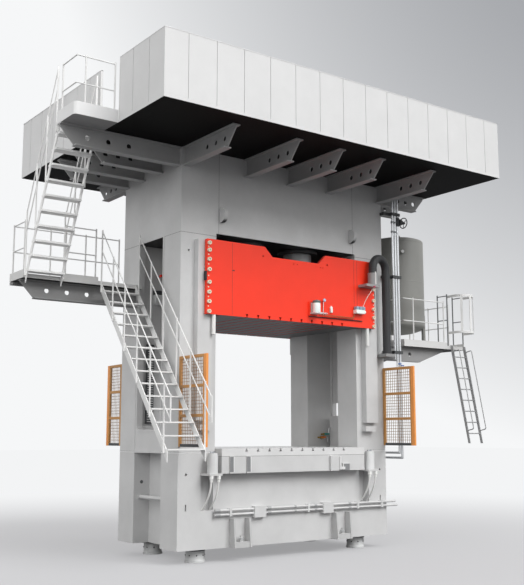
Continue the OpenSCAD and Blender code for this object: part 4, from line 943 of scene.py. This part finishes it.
neck = [(0.0, 2.2), (0.065, 2.2), (0.065, 2.36), (0.115, 2.36), (0.115, 2.39), (0.0, 2.39)]
tank_parts.append(turned(neck, TANK, sides=32))
side_way = np.array([np.sin(np.radians(-32)), -np.cos(np.radians(-32)), 0.0])
side_at = TANK + (0, 0, SHELL_H * 0.84)
tank_parts += [
    rods([side_at + 0.66 * side_way], [side_at + 0.76 * side_way], 0.035),
    rods([side_at + 0.755 * side_way], [side_at + 0.78 * side_way], 0.060, sides=24),
]
leg_low = np.c_[np.minimum(SIGNS * 0.430, SIGNS * 0.500), np.full(4, -0.545)] + TANK
pad_low = np.c_[np.minimum(SIGNS * 0.390, SIGNS * 0.540), np.full(4, -0.545)] + TANK
tank_parts += [bars(leg_low, leg_low + (0.07, 0.07, 0.805)), bars(pad_low, pad_low + (0.15, 0.15, 0.015))]
make("pressure_tank_shell", tank_parts, tank_enamel, "frame", stands_for=["pressure_tank"])
# Pale disc on the side nozzle's end: a painted highlight.
highlight_disc_at = side_at + 0.781 * side_way
make(
    "tank_nozzle_highlight", [rods([highlight_disc_at - 0.002 * side_way], [highlight_disc_at + 0.016 * side_way], 0.040, sides=24)],
    pale_enamel_and_highlight, "frame",
)

# Pipes: drawn steel risers with cast clamps, flanges and a control valve with its handwheel.
dress(pipe_steel, "riser_pipes")
dress(dark_iron, "pipe_clamps", "control_valve", "valve_handwheel")
flange_at = np.array([(x, -1.44, z) for x in (3.095, 3.180) for z in (7.57, 7.81)])
flange = [
    (0.0278, -0.022), (0.041, -0.022), (0.041, -0.002), (0.038, 0.0), (0.041, 0.002), (0.041, 0.022),
    (0.0278, 0.022), (0.0278, -0.022),
]
make("riser_flanges", [turned(flange, flange_at, sides=24)], forged_steel, "frame")
bonnet = [
    (0.0, 0.03), (0.075, 0.03), (0.085, 0.04), (0.085, 0.10), (0.075, 0.11), (0.055, 0.115), (0.055, 0.165),
    (0.0, 0.165),
]
make(
    "control_valve_bonnet", [turned(bonnet, (3.265, -1.44, 7.840), axis=0, sides=32)], dark_iron, "frame",
)
lever_low = np.array([(3.155, -1.505, 4.290), (3.240, -1.505, 4.250)])
make(
    "riser_cock_levers",
    [
        bars(lever_low, lever_low + (0.09, 0.02, 0.025)),
        rods(lever_low + (0.025, 0.01, 0.012), lever_low + (0.025, 0.065, 0.012), 0.014),
    ],
    enamel("lever_enamel_blue", "#2f5ea8", rough=0.35), "frame", bevel=0.003,
)

# Side guards: welded frames of square tube in orange enamel, filled with crimped wire mesh, on a dark
# bottom rail; the free end is a deeper post in a brighter orange.
guard_enamel = enamel("guard_enamel_orange", "#c18c50", rough=0.45)
post_enamel = enamel("guard_post_enamel_bright", "#ee9a4c", rough=0.4)
wire_enamel = enamel("guard_wire_enamel", "#9a7a5e", rough=0.45)
GUARD_X, GUARD_T, GUARD_Z, GUARD_H, BAR, POST = 2.830, 0.050, 2.355, 1.835, 0.060, 0.135
POST_EDGE, WIRE_GAP, WIRE_R = 0.045, 0.065, 0.0055
frames, posts, wires, sills = [], [], [], []
for sx in (-1, 1):
    for sy, reach in ((-1, 1.035), (1, 0.700)):
        bay_w = reach - BAR - POST
        bay_h = (GUARD_H - BAR) / 3 - BAR
        near_y = sy * 1.260

        def guard_bar(y0, y1, z0, z1, inset=0.0):
            """A bar of this guard from y0 to y1 off the column and z0 to z1 above the guard's foot."""
            ys = sorted((near_y + sy * y0, near_y + sy * y1))
            xs = sorted((sx * (GUARD_X + inset), sx * (GUARD_X + GUARD_T - inset)))
            return bars([(xs[0], ys[0], GUARD_Z + z0)], [(xs[1], ys[1], GUARD_Z + z1)])

        frames.append(guard_bar(0, BAR, 0, GUARD_H))
        frames += [
            guard_bar(BAR, reach - POST, k * (bay_h + BAR), k * (bay_h + BAR) + BAR) for k in (1, 2, 3)
        ]
        frames.append(guard_bar(reach - POST, reach - POST + POST_EDGE, 0, GUARD_H, 0.004))
        posts.append(guard_bar(reach - POST + POST_EDGE, reach, 0, GUARD_H))
        sills.append(guard_bar(BAR, reach - POST, 0, BAR))
        cols, rows = round(bay_w / WIRE_GAP), round(bay_h / WIRE_GAP)
        x = sx * (GUARD_X + GUARD_T / 2)
        for bay in range(3):
            z0 = GUARD_Z + BAR + bay * (bay_h + BAR)
            foot = [(x - 0.003, near_y + sy * (BAR + k * bay_w / cols), z0 - 0.01) for k in range(1, cols)]
            wires.append(rods(foot, np.array(foot) + (0, 0, bay_h + 0.02), WIRE_R, sides=6))
            start = [(x + 0.003, near_y + sy * (BAR - 0.01), z0 + k * bay_h / rows) for k in range(1, rows)]
            wires.append(rods(start, np.array(start) + (0, sy * (bay_w + 0.02), 0), WIRE_R, sides=6))
make("guard_frames", frames, guard_enamel, "frame", bevel=0.004, stands_for=["side_guards"])
make("guard_posts", posts, post_enamel, "frame", bevel=0.004)
make("guard_sills", sills, dark_iron, "frame", bevel=0.004)
make("guard_mesh", wires, wire_enamel, "frame")
